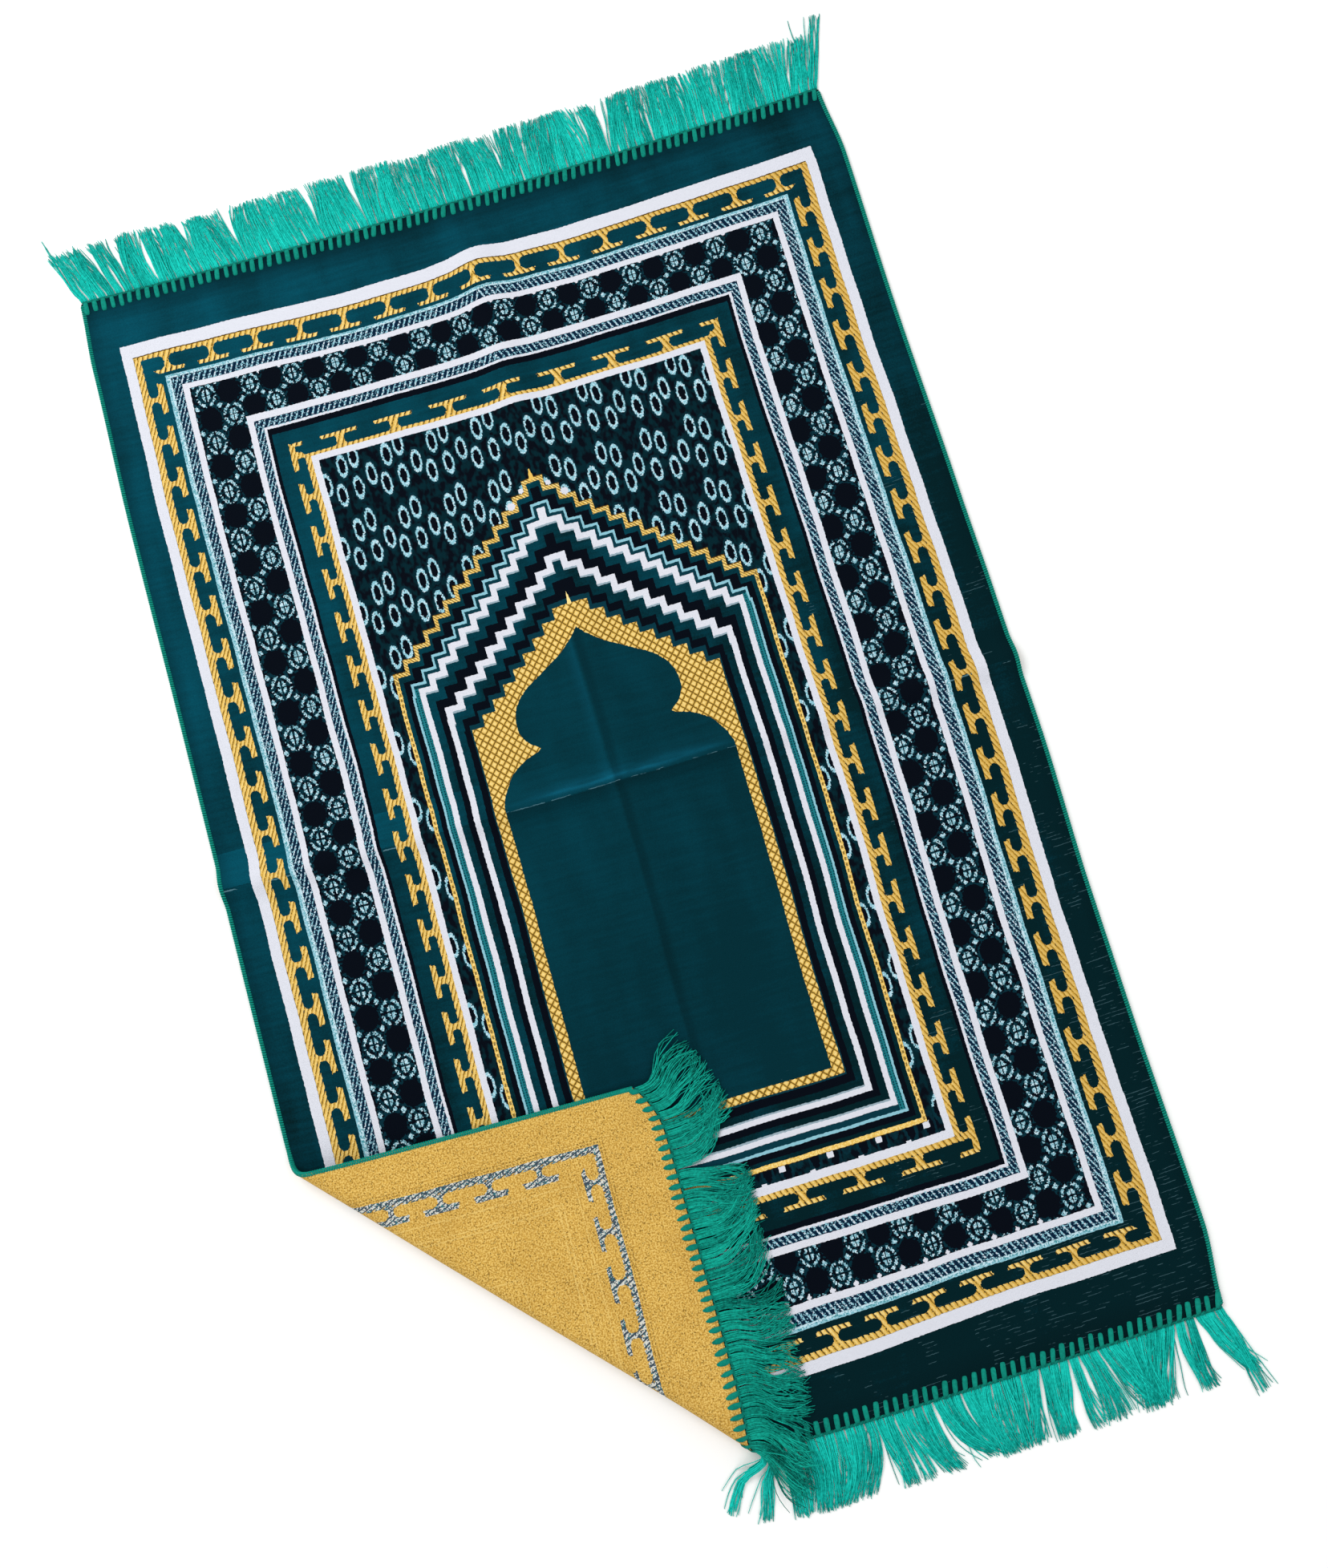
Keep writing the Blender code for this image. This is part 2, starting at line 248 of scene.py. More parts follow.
@dataclass(frozen=True)
class RugLay:
    """How the flat sheet lies: the turned corner, the creases from folding in four, the bowed weave.

    The values are those of the CAD source, so every piece stays where its solid is.
    """

    width: float = 0.680
    length: float = 1.066
    thickness: float = 0.003
    fold_side_end: tuple[float, float] = (-0.340, -0.237)
    fold_heading: float = math.radians(-45.2)
    fold_radius: float = 0.0095
    flap_clearance: float = 0.0014
    flap_descent: float = 0.085
    flap_swell: float = 0.0016
    flap_swell_length: float = 0.130
    tip_reach: float = 0.042
    tip_pull: float = 0.015
    tip_lift: float = 0.003
    cross_crease: tuple[float, float, float] = (0.003, 0.020, 0.006)
    long_crease: tuple[float, float, float] = (0.005, 0.030, 0.005)
    long_crease_foot_height: float = 0.0015
    long_crease_ease: tuple[float, float] = (-0.220, -0.060)
    crease_fade: float = 0.060
    weft_bow: float = 0.007
    sway_along: tuple[float, ...] = (
        -0.533, -0.470, -0.300, -0.200, -0.060, 0.060, 0.150, 0.330, 0.470, 0.533,
    )
    sway_left: tuple[float, ...] = (0.0, 0.0, 0.0, 0.001, 0.001, 0.001, 0.001, 0.002, 0.0, -0.003)
    sway_right: tuple[float, ...] = (-0.004, 0.002, 0.0, 0.0, 0.003, 0.002, 0.001, -0.001, 0.0, -0.005)

    @property
    def half_width(self) -> float:
        """Half the sheet's width."""
        return self.width / 2

    @property
    def half_length(self) -> float:
        """Half the sheet's length."""
        return self.length / 2

    @property
    def arc_half(self) -> float:
        """Half the length of sheet in the roll."""
        return math.pi * self.fold_radius / 2

    @property
    def fold_out(self) -> tuple[float, float]:
        """Direction across the fold line, towards the turned corner."""
        return math.sin(self.fold_heading), -math.cos(self.fold_heading)

    def past_fold(self, across: np.ndarray, along: np.ndarray) -> np.ndarray:
        """Distance of sheet points beyond the fold line."""
        out = self.fold_out
        return (across - self.fold_side_end[0]) * out[0] + (along - self.fold_side_end[1]) * out[1]

    def roll_angle(self, across: np.ndarray, along: np.ndarray) -> np.ndarray:
        """Angle turned through the roll, 0 on the flat and pi on the flap."""
        beyond = self.past_fold(across, along)
        return np.clip((beyond + self.arc_half) / self.fold_radius, 0.0, np.pi)

    def crease_lift(self, across: np.ndarray, along: np.ndarray) -> np.ndarray:
        """Work out how far the creases hold the cloth off the floor.

        Args:
            across: Places across the rug.
            along: Places along it.

        Returns:
            The height at each place.
        """
        fade = ease((self.half_length - np.abs(along)) / self.crease_fade)
        low, high = self.long_crease_ease
        foot = self.long_crease_foot_height
        crest = foot + (self.long_crease[2] - foot) * ease((along - low) / (high - low))
        long_lift = crest * fade * ridge(across - self.long_crease[0], self.long_crease[1])
        cross_lift = self.cross_crease[2] * ridge(along - self.cross_crease[0], self.cross_crease[1])
        return np.maximum(cross_lift, long_lift)

    def side_sway(self, across: np.ndarray, along: np.ndarray) -> np.ndarray:
        """Work out how far the uneven sides move points across the rug.

        Args:
            across: Places across the rug.
            along: Places along it.

        Returns:
            The move across at each place.
        """
        rows = np.array(self.sway_along)
        along = np.clip(along, rows[0], rows[-1])
        low = np.clip(np.searchsorted(rows, along) - 1, 0, len(rows) - 2)
        step = ease((along - rows[low]) / (rows[low + 1] - rows[low]))
        left_row, right_row = np.array(self.sway_left), np.array(self.sway_right)
        left = left_row[low] + step * (left_row[low + 1] - left_row[low])
        right = right_row[low] + step * (right_row[low + 1] - right_row[low])
        share = (across / self.half_width + 1.0) / 2.0
        return right * share - left * (1.0 - share)

    def facing(self, sheet: np.ndarray, step: tuple[float, float, float]) -> np.ndarray:
        """Find which way a step on the flat sheet points once the sheet is laid.

        Args:
            sheet: Points as (across, along, up), in an array of any shape that ends in 3.
            step: The step's direction on the sheet, in the same order.

        Returns:
            Unit vectors in the rug frame, in the same shape.
        """
        return unit(self.place(sheet + np.array(step) * PROBE) - self.place(sheet))

    def place(self, sheet: np.ndarray) -> np.ndarray:
        """Lay points of the flat sheet where they lie.

        Args:
            sheet: Points as (across, along, up), in an array of any shape that ends in 3.

        Returns:
            The points in the rug frame, in the same shape.
        """
        across, along, up = np.moveaxis(np.asarray(sheet, float), -1, 0)
        out = self.fold_out
        beyond = self.past_fold(across, along)
        rolled = beyond > -self.arc_half
        angle = self.roll_angle(across, along)
        middle = self.thickness / 2
        radius = self.fold_radius + middle - up
        run = np.maximum(beyond - self.arc_half, 0.0)
        shift = np.where(rolled, -self.arc_half + radius * np.sin(angle) - run - beyond, 0.0)
        plan_x, plan_y = across + out[0] * shift, along + out[1] * shift
        settle = ease(run / self.flap_descent)
        drop = 2 * self.fold_radius - self.thickness - self.flap_clearance
        swell = np.sin(np.pi * (across + along) / self.flap_swell_length) ** 2
        high = middle + self.fold_radius - radius * np.cos(angle) + (self.flap_swell * swell - drop) * settle
        from_tip = np.hypot(across + self.half_width, along + self.half_length)
        pull = np.where(rolled, np.maximum(1.0 - from_tip / self.tip_reach, 0.0) ** 2, 0.0)
        height = np.where(rolled, high, up) + self.tip_lift * pull
        plan_x = plan_x - self.tip_pull * pull
        height = height + self.crease_lift(plan_x, plan_y)
        placed_x = plan_x + self.side_sway(plan_x, plan_y)
        placed_y = plan_y - self.weft_bow * (1.0 - (plan_x / self.half_width) ** 2)
        return np.stack([placed_x, placed_y, height], axis=-1)


LAY = RugLay()


def new_piece(name: str, points: np.ndarray, faces: list, material: bpy.types.Material) -> bpy.types.Object:
    """Make a smooth mesh piece that rides on the rug.

    Args:
        name: Name of the piece.
        points: Its vertices, in the rug frame.
        faces: Vertex numbers of each face.
        material: Its first finish.

    Returns:
        The new object.
    """
    data = bpy.data.meshes.new(name)
    data.from_pydata(points.reshape(-1, 3).tolist(), [], faces)
    data.validate()
    data.shade_smooth()
    data.materials.append(material)
    piece = bpy.data.objects.new(name, data)
    bpy.context.scene.collection.objects.link(piece)
    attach(piece, "root")
    return piece


def unit(vectors: np.ndarray) -> np.ndarray:
    """Vectors at length 1."""
    return vectors / np.maximum(np.linalg.norm(vectors, axis=-1, keepdims=True), 1e-12)


def spin_yarns(
    paths: np.ndarray, widths: np.ndarray, heights: np.ndarray, above: np.ndarray, sides: int
) -> tuple[np.ndarray, list]:
    """Sweep a flattened round section along many paths at once.

    Args:
        paths: Centre lines, as strands by points by 3.
        widths: Full width of the section at each point.
        heights: Full height of the section at each point.
        above: Direction out of the cloth at each point.
        sides: Number of sides of the section.

    Returns:
        The vertices, and the faces as vertex numbers.
    """
    ahead = unit(np.gradient(paths, axis=1))
    beside = unit(np.cross(ahead, above))
    over = np.cross(beside, ahead)
    turns = (np.arange(sides) + 0.5) * 2 * np.pi / sides
    points = (
        paths[:, :, None, :]
        + beside[:, :, None, :] * (np.cos(turns)[:, None] * widths[:, :, None, None] / 2)
        + over[:, :, None, :] * (np.sin(turns)[:, None] * heights[:, :, None, None] / 2)
    )
    strands, rings = paths.shape[:2]
    near = np.arange(sides)
    far = (near + 1) % sides
    ring = np.arange(rings - 1)[:, None] * sides
    after = ring + sides
    skin = np.stack([ring + near, ring + far, after + far, after + near], axis=-1).reshape(-1, 4)
    faces = []
    for strand in range(strands):
        first = strand * rings * sides
        faces += (skin + first).tolist()
        faces.append([first + int(corner) for corner in near[::-1]])
        faces.append([first + (rings - 1) * sides + int(corner) for corner in near])
    return points.reshape(-1, 3), faces


def set_tones(piece: bpy.types.Object, tones: np.ndarray, corners_each: int) -> None:
    """Give each strand of a piece its own tone.

    Args:
        piece: The piece.
        tones: One tone from 0 to 1 for each strand.
        corners_each: Number of vertices of each strand.
    """
    attribute = piece.data.attributes.new(TONE, "FLOAT", "POINT")
    attribute.data.foreach_set("value", np.repeat(tones, corners_each).astype(np.float32))


@dataclass(frozen=True)
class SpunYarn:
    """Spun acrylic yarn: soft, matt and a little hairy, each strand of its own shade."""

    name: str
    light: Dye
    deep: Dye
    roughness: float = 0.8
    gloss: float = 0.06
    fibre_mm: float = 0.55  # real fibres are 0.02 mm; drawn as coarse as they need to show
    fleck_fibres: float = 4.0  # one fleck is as broad as this many fibres
    fleck_share: tuple[float, float] = (1.1, -0.38)
    tone_share: float = 0.65
    relief_mm: float = 0.25
    relief_strength: float = 0.8

    def material(self) -> bpy.types.Material:
        """Make the finish: fibre flecks and a tone for each strand.

        Returns:
            The finished material.
        """
        material = bpy.data.materials.new(self.name)
        material.use_nodes = True
        tree = material.node_tree
        shader = tree.nodes["Principled BSDF"]
        place = add_node(tree, "ShaderNodeTexCoord").outputs["Object"]
        scale = 1 / (self.fibre_mm * MILLIMETRE * self.fleck_fibres)
        fibres = add_node(
            tree, "ShaderNodeTexNoise", {"noise_dimensions": "3D"},
            {"Vector": place, "Scale": scale, "Detail": 2.0, "Roughness": 0.6},
        )
        fleck = Signal(tree, fibres.outputs[0])
        tone = add_node(tree, "ShaderNodeAttribute", {"attribute_name": TONE})
        shade = Signal(tree, tone.outputs["Fac"]) * self.tone_share + fleck.scaled(*self.fleck_share)
        dyed = add_node(
            tree, "ShaderNodeMix", {"data_type": "RGBA"},
            {0: shade, 6: linear(self.deep.value), 7: linear(self.light.value)},
        )
        bump = add_node(
            tree, "ShaderNodeBump", None,
            {"Height": fleck, "Distance": self.relief_mm * MILLIMETRE, "Strength": self.relief_strength},
        )
        tree.links.new(dyed.outputs[2], shader.inputs["Base Color"])
        tree.links.new(bump.outputs[0], shader.inputs["Normal"])
        shader.inputs["Roughness"].default_value = self.roughness
        shader.inputs["Specular IOR Level"].default_value = self.gloss
        return material


@dataclass(frozen=True)
class Band:
    """A woven band of the frame: where it starts going outwards, in millimetres, and its yarn."""

    start: float
    dye: Dye
    shown: bool = True


@dataclass(frozen=True)
class Arch:
    """A stepped arch: its top, half its first run, half its width, its sill, and the yarn inside it."""

    top: float
    first: float
    half_width: float
    sill: float
    dye: Dye


@dataclass(frozen=True)
class BarRow:
    """A row of gold T shapes in the frame: bars that run along it, each on a waisted stem.

    The bar and the stem are pairs of a middle and a half depth outwards, in millimetres. The first
    stem is found by a shift along the sides, and by a scale and a shift along the ends.
    """

    pitch: float
    bar: tuple[float, float]
    bar_half: float
    stem: tuple[float, float]
    waist: float
    side_shift: float
    end_run: tuple[float, float]


class Draft:
    """A weaver's draft of one finish: yarns thrown over one another on the flat cloth, in millimetres.

    A pair that names a line or a band is its middle and half its width.
    """

    tuft = (0.88, 0.86)  # one pile tuft across and along, as on the real cloth
    waver = (1.4, 45.0)  # how far the weave wanders, and over what length
    ragged = (0.7, 2.2)  # the same for the edges of its figures
    roughness = 0.9
    sheen = 0.05  # how much the fibre ends catch grazing light
    gloss = 0.04  # how much the yarn reflects
    relief_mm = 0.9  # what a height of 1 stands for
    relief_strength = 0.7
    crease_shift = ((-40.0, 5.2), (45.0, 0.0))  # cloth that the crosswise fold takes up
    head_onset = ((375.0, 0.0), (450.0, 1.0))  # where the wave of each end sets in
    foot_onset = ((-475.0, 1.0), (-395.0, 0.0))
    head_wave = (
        (-270.0, -0.7), (-200.0, -1.4), (-160.0, -3.3), (-120.0, -4.7), (-80.0, -4.3), (-40.0, -3.4),
        (-20.0, -1.6), (0.0, 0.4), (10.0, 1.0), (22.0, 0.4), (40.0, -1.1), (80.0, -2.4), (120.0, -2.4),
        (200.0, -1.4), (270.0, -0.8),
    )
    foot_wave = (
        (20.0, -3.4), (60.0, -2.3), (100.0, -0.1), (120.0, 0.6), (160.0, 3.3), (200.0, 4.1), (290.0, 3.5),
    )
    twill_mm = 7.4
    twill_slope = 2.1
    end_twill = 0.73  # the twill is steeper at the ends
    outer_row = BarRow(39.25, (287.2, 2.5), 13.4, (294.2, 4.9), 2.1, 1.0, (0.995, 0.7))
    inner_row = BarRow(39.2, (189.5, 2.3), 13.4, (184.0, 3.6), 2.6, 3.7, (0.808, 2.2))
    row_reach = (293.0, 452.0)  # how far the outer row runs across and along
    end_rims = (285.4, 190.9)  # at the ends the bars are thinner, up to these places
    bar_slant = 0.3
    stem_flare = 0.045
    gold_ropes = ((301.6, 3.0), (177.9, 2.4))
    rope_bites = ((299.0, 0.9), (180.0, 0.6))
    head_gauge = (
        (343.0, 172.5), (346.0, 175.5), (349.0, 180.5), (358.0, 187.0), (362.0, 191.6), (373.0, 203.5),
        (379.0, 206.5), (381.0, 208.7), (389.0, 216.0), (395.5, 221.5), (433.5, 262.5), (439.0, 268.5),
        (447.0, 276.0), (450.0, 280.0), (453.3, 284.6), (457.0, 289.6), (469.0, 298.0), (473.5, 304.5),
        (485.0, 313.0), (533.0, 340.0),
    )
    foot_gauge = (
        (345.5, 172.5), (349.0, 175.5), (354.0, 180.5), (362.0, 187.0), (366.5, 191.6), (375.5, 203.5),
        (380.5, 206.5), (382.7, 208.7), (390.3, 216.0), (396.3, 221.5), (433.5, 262.5), (440.0, 268.5),
        (448.6, 276.0), (452.0, 280.0), (457.0, 284.6), (461.0, 289.6), (470.0, 298.0), (475.5, 304.5),
        (484.5, 313.0), (533.0, 340.0),
    )

    def __init__(self, name: str) -> None:
        """Start the finish: wavering plan coordinates, tuft cells and their random shades.

        Args:
            name: Name of the finish.
        """
        self.material = bpy.data.materials.new(name)
        self.material.use_nodes = True
        self.tree = self.material.node_tree
        self.shader = self.tree.nodes["Principled BSDF"]
        plan = add_node(self.tree, "ShaderNodeUVMap", {"uv_map": PLAN_MAP}).outputs[0]
        self.plan = plan
        moved = plan
        for reach, length in (self.waver, self.ragged):
            noise = add_node(
                self.tree, "ShaderNodeTexNoise", {"noise_dimensions": "2D"},
                {"Vector": plan, "Scale": 1.0 / length, "Detail": 0.0},
            )
            moved = add_node(
                self.tree, "ShaderNodeVectorMath", {"operation": "MULTIPLY_ADD"},
                {0: noise.outputs["Color"], 1: (reach, reach, 0.0), 2: moved},
            ).outputs[0]
            moved = add_node(
                self.tree, "ShaderNodeVectorMath", {"operation": "SUBTRACT"},
                {0: moved, 1: (reach / 2, reach / 2, 0.0)},
            ).outputs[0]
        moved = self.wave(moved)
        self.x, self.v = self.split(moved)[:2]
        cell = add_node(
            self.tree, "ShaderNodeVectorMath", {"operation": "SNAP"}, {0: moved, 1: (*self.tuft, 1.0)}
        ).outputs[0]
        self.tuft_x, self.tuft_v = self.split(cell)[:2]
        chance = add_node(self.tree, "ShaderNodeTexWhiteNoise", {"noise_dimensions": "2D"}, {"Vector": cell})
        self.chance = self.split(chance.outputs["Color"])
        self.ax = self.x.size()
        self.tuft_ax = self.tuft_x.size()
        self.woven_v = self.tuft_v - self.gauge(self.tuft_v, self.crease_shift)
        self.colour = None

    def wave(self, place: bpy.types.NodeSocket) -> bpy.types.NodeSocket:
        """Let the weft rise and sink near the two ends, as the cloth does where it was pulled.

        Args:
            place: Plan coordinates.

        Returns:
            The coordinates of the straight weave.
        """
        x, v = self.split(place)[:2]
        head = self.gauge(x, self.head_wave) * self.gauge(v, self.head_onset)
        foot = self.gauge(x, self.foot_wave) * self.gauge(v, self.foot_onset)
        rise = add_node(self.tree, "ShaderNodeCombineXYZ", None, {1: head + foot})
        return add_node(
            self.tree, "ShaderNodeVectorMath", {"operation": "SUBTRACT"}, {0: place, 1: rise.outputs[0]}
        ).outputs[0]

    def border(self) -> tuple[Signal, Signal]:
        """Find the place in the borders, and start the twill that runs along them.

        Returns:
            The distance out in the frame, and the mask of the side borders.
        """
        out, on_side = self.outward(self.ax, self.v)
        slanted = (self.v + self.ax * self.twill_slope) * on_side.scaled(1.0 - self.end_twill, self.end_twill)
        self.twill = slanted.repeated(self.twill_mm)
        return out, on_side

    def split(self, vector: bpy.types.NodeSocket) -> list[Signal]:
        """The three parts of a vector as signals."""
        parts = add_node(self.tree, "ShaderNodeSeparateXYZ", None, {0: vector})
        return [Signal(self.tree, socket) for socket in parts.outputs]

    def mottle(self, grain: float, stretch: tuple[float, float] = (1.0, 1.0), detail: float = 1.0) -> Signal:
        """Uneven cloth: soft noise with patches of a size in millimetres.

        Args:
            grain: Size of the patches.
            stretch: How much longer they are across and along.
            detail: Octaves of finer noise.

        Returns:
            Noise about 0.5.
        """
        placed = add_node(
            self.tree, "ShaderNodeVectorMath", {"operation": "MULTIPLY"},
            {0: self.plan, 1: (1 / (grain * stretch[0]), 1 / (grain * stretch[1]), 0.0)},
        )
        noise = add_node(
            self.tree, "ShaderNodeTexNoise", {"noise_dimensions": "2D"},
            {"Vector": placed.outputs[0], "Scale": 1.0, "Detail": detail},
        )
        return Signal(self.tree, noise.outputs[0])

    def throw(self, mask: Signal | float, yarn: Dye | bpy.types.NodeSocket) -> None:
        """Bring a yarn to the face.

        Args:
            mask: Where it comes, and how much of it shows there.
            yarn: Its dye, or the colour of cloth woven before.
        """
        colour = linear(yarn.value) if isinstance(yarn, Dye) else yarn
        if self.colour is None:
            self.colour = colour
            return
        mixed = add_node(
            self.tree, "ShaderNodeMix", {"data_type": "RGBA"}, {0: mask, 6: self.colour, 7: colour}
        )
        self.colour = mixed.outputs[2]

    def gauge(self, place: Signal, knots: tuple[tuple[float, float], ...]) -> Signal:
        """Read a place through a table of places and values, with straight lines between them.

        Args:
            place: What is looked up.
            knots: Place and value pairs, rising.

        Returns:
            The value.
        """
        values = [value for _, value in knots]
        floor, span = min(values), max(values) - min(values)
        greys = [(spot, (*[(value - floor) / span] * 3, 1.0)) for spot, value in knots]
        node = self.ramp(place, (knots[0][0], knots[-1][0]), greys, "LINEAR")
        return Signal(self.tree, node.outputs[0]).scaled(span, floor)

    def ramp(
        self, place: Signal, reach: tuple[float, float], stops: list[tuple[float, tuple]], steps: str
    ) -> bpy.types.Node:
        """Look a place up in a ramp of colours.

        Args:
            place: What is looked up.
            reach: Places of the ramp's two ends.
            stops: Place and colour pairs, rising.
            steps: How the ramp runs between its stops.

        Returns:
            The ramp.
        """
        low, high = reach
        spot = place.scaled(1 / (high - low), -low / (high - low))
        node = add_node(self.tree, "ShaderNodeValToRGB", None, {0: spot})
        fill_ramp(node, [((stop - low) / (high - low), colour) for stop, colour in stops], steps)
        return node

    def outward(self, ax: Signal, v: Signal) -> tuple[Signal, Signal]:
        """How far out in the frame a point is, read in the side border's millimetres.

        Args:
            ax: Distance across from the middle.
            v: Place along the rug.

        Returns:
            The distance, and the mask of the side borders.
        """
        ends = self.gauge(v, self.head_gauge) | self.gauge(v * -1.0, self.foot_gauge)
        return ax | ends, ax > ends

    def bars(self, out: Signal, on_side: Signal, row: BarRow) -> Signal:
        """Weave a row of T shapes.

        Args:
            out: Distance out in the frame.
            on_side: Mask of the side borders.
            row: Sizes of the shapes.

        Returns:
            Mask of the shapes.
        """
        run = self.choose(on_side, self.woven_v + row.side_shift, self.tuft_x.scaled(*row.end_run))
        place = run.repeated(row.pitch).size()
        slanted = place - (out - row.bar[0]) * self.bar_slant
        bars = out.near(*row.bar) & (slanted < row.bar_half)
        waist = (out - row.stem[0]).size()
        flare = (waist * waist).reckon("MULTIPLY_ADD", waist * self.stem_flare, row.waist)
        return bars | (out.near(*row.stem) & (place < flare))

    def lines(self, out: Signal, places: tuple[tuple[float, float], ...]) -> Signal:
        """Mask of the lines at some places, each a middle and half a width."""
        return functools.reduce(operator.or_, [out.near(*place) for place in places])

    def row(self, run: Signal, beads: tuple[float, float]) -> Signal:
        """Mask of beads along a run, from their pitch and half the length of one."""
        return run.repeated(beads[0]).near(0.0, beads[1])

    def gold_frame(self, out: Signal, on_side: Signal) -> Signal:
        """Find all that is gold in the borders: two ropes and the T shapes on them.

        Args:
            out: Distance out in the frame.
            on_side: Mask of the side borders.

        Returns:
            Mask of the gold.
        """
        on_end = ~on_side & (self.ax < self.row_reach[0])
        own = on_end | (on_side & (self.woven_v.size() < self.row_reach[1]))
        outer = self.bars(out, on_side, self.outer_row) & ~(on_end & (out < self.end_rims[0]))
        inner = self.bars(out, on_side, self.inner_row) & ~(on_end & (out > self.end_rims[1]))
        bites = self.twill.near(-1.2, 1.0) & self.lines(out, self.rope_bites)
        return (outer & own) | inner | (self.lines(out, self.gold_ropes) & ~bites)

    def choose(self, mask: Signal, there: Signal, elsewhere: Signal) -> Signal:
        """One signal where the mask is 1 and another where it is 0."""
        return elsewhere + (there - elsewhere) * mask

    def close(self, height: Signal) -> bpy.types.Material:
        """Join the colour and relief to the shader.

        Args:
            height: Relief of the cloth, about 0 to 1.

        Returns:
            The finished material.
        """
        bump = add_node(
            self.tree, "ShaderNodeBump", None,
            {"Height": height, "Distance": self.relief_mm * MILLIMETRE, "Strength": self.relief_strength},
        )
        self.tree.links.new(self.colour, self.shader.inputs["Base Color"])
        self.tree.links.new(bump.outputs[0], self.shader.inputs["Normal"])
        self.shader.inputs["Roughness"].default_value = self.roughness
        self.shader.inputs["Sheen Weight"].default_value = self.sheen
        self.shader.inputs["Sheen Tint"].default_value = linear(Dye.SEA.value)
        self.shader.inputs["Specular IOR Level"].default_value = self.gloss
        return self.material


class VelvetDraft(Draft):
    """Cut polyester pile on a flat ground: deep, soft and matt, with a painted sheen where its pile leans to
    the light.
    """

    sheen_along = (0.0006, 0.23)  # painted sheen gained for each millimetre along, and painted sheen at the middle
    sheen_across = -0.0006
    past_fold = (16.0, 15.0)  # strip above the crosswise fold, lightened by painted sheen
    past_fold_sheen = (-0.0012, 0.1)
    weft_rows = (2.9, 0.26)  # pitch of the worn rows, and half the width of one
    worn_across = (0.0011, -0.25)
    worn_along = (-0.0005, -0.17)
    # pale line on the crest of the crosswise fold: partly wear, partly painted highlight
    fold_crest = (-1.2, 0.5)
    fold_crest_from = 190.0

    def painted_sheen_and_tone(self) -> Signal:
        """Paint the velvet's sheen: lighter at the head's left and past the fold, in broad patches, with rows
        and tufts of uneven tone.

        Returns:
            How much painted sheen and lighter tone there is, about 0 to 1.
        """
        # painted sheen: lighter towards the head and the left, and in a strip above the crosswise fold
        lean = self.v.scaled(*self.sheen_along) + self.x.scaled(self.sheen_across)
        fold = self.v.near(*self.past_fold) & self.x.scaled(*self.past_fold_sheen)
        # painted sheen in broad patches; the rows and single tufts only differ in tone
        patches = self.mottle(70.0, (0.5, 1.7), 2.0).levelled(0.8)
        rows = self.mottle(9.0, (5.0, 0.45)).levelled(0.35)
        return lean + fold + patches + rows + self.chance[0].levelled(0.16)

    def ground(self) -> Signal:
        """Lay the emerald pile that everything else is woven into, lightened by its painted sheen, and return
        that painted sheen and tone.
        """
        painted_sheen_and_tone = self.painted_sheen_and_tone()
        self.throw(1.0, Dye.EMERALD_DEEP)
        # painted sheen and uneven tone over the emerald pile
        self.throw(painted_sheen_and_tone, Dye.EMERALD_LIGHT)
        return painted_sheen_and_tone

    def worn_weft_and_crest_highlight(self, plain: Signal) -> None:
        """Show the pale weft where the plain pile has parted, in rows at the foot's right; and along the
        crest of the crosswise fold a pale line, partly wear and partly painted highlight.

        Args:
            plain: Mask of the plain pile.
        """
        rows = self.row(self.v, self.weft_rows)
        streak = self.mottle(1.6, (9.0, 1.0)) > 0.59
        worn = self.x.scaled(*self.worn_across) + self.v.scaled(*self.worn_along)
        patch = (self.mottle(40.0, detail=2.0) + worn) > 0.5
        # pale line on the crest of the crosswise fold: partly wear, partly painted highlight
        thread = self.v.near(*self.fold_crest) & (self.mottle(14.0, (3.0, 0.4)) > 0.47)
        fold = thread & (self.ax > self.fold_crest_from) & 0.3
        self.throw(plain & ((rows & streak & patch & 0.13) | fold), Dye.CYAN)

    def shade_gold(self, gold: Signal) -> None:
        """Weave a gold yarn with the brown diagonal of its twill, and a painted highlight along each ridge.

        Args:
            gold: Mask of the gold.
        """
        self.throw(gold, Dye.GOLD)
        # painted highlight along each ridge of the twill
        self.throw(gold & self.twill.near(1.9, 1.3) & 0.7, Dye.GOLD_LIGHT)
        self.throw(gold & self.chance[1] & 0.4, Dye.GOLD_DEEP)
        self.throw(gold & self.twill.near(-1.2, 0.8) & (self.chance[0] > 0.12) & 0.9, Dye.BROWN)
        self.throw(gold & self.twill.near(-2.4, 0.5) & 0.45, Dye.GOLD_DEEP)

    def pile_relief(self, raised: Signal) -> Signal:
        """Height of the pile: tufts, rows and the yarns that stand up."""
        tufts = self.chance[2] * 0.3
        fuzz = self.mottle(1.1, detail=2.0) * 0.5  # real pile is 0.1 mm fine; drawn as it shows
        return tufts + fuzz + raised * 0.55


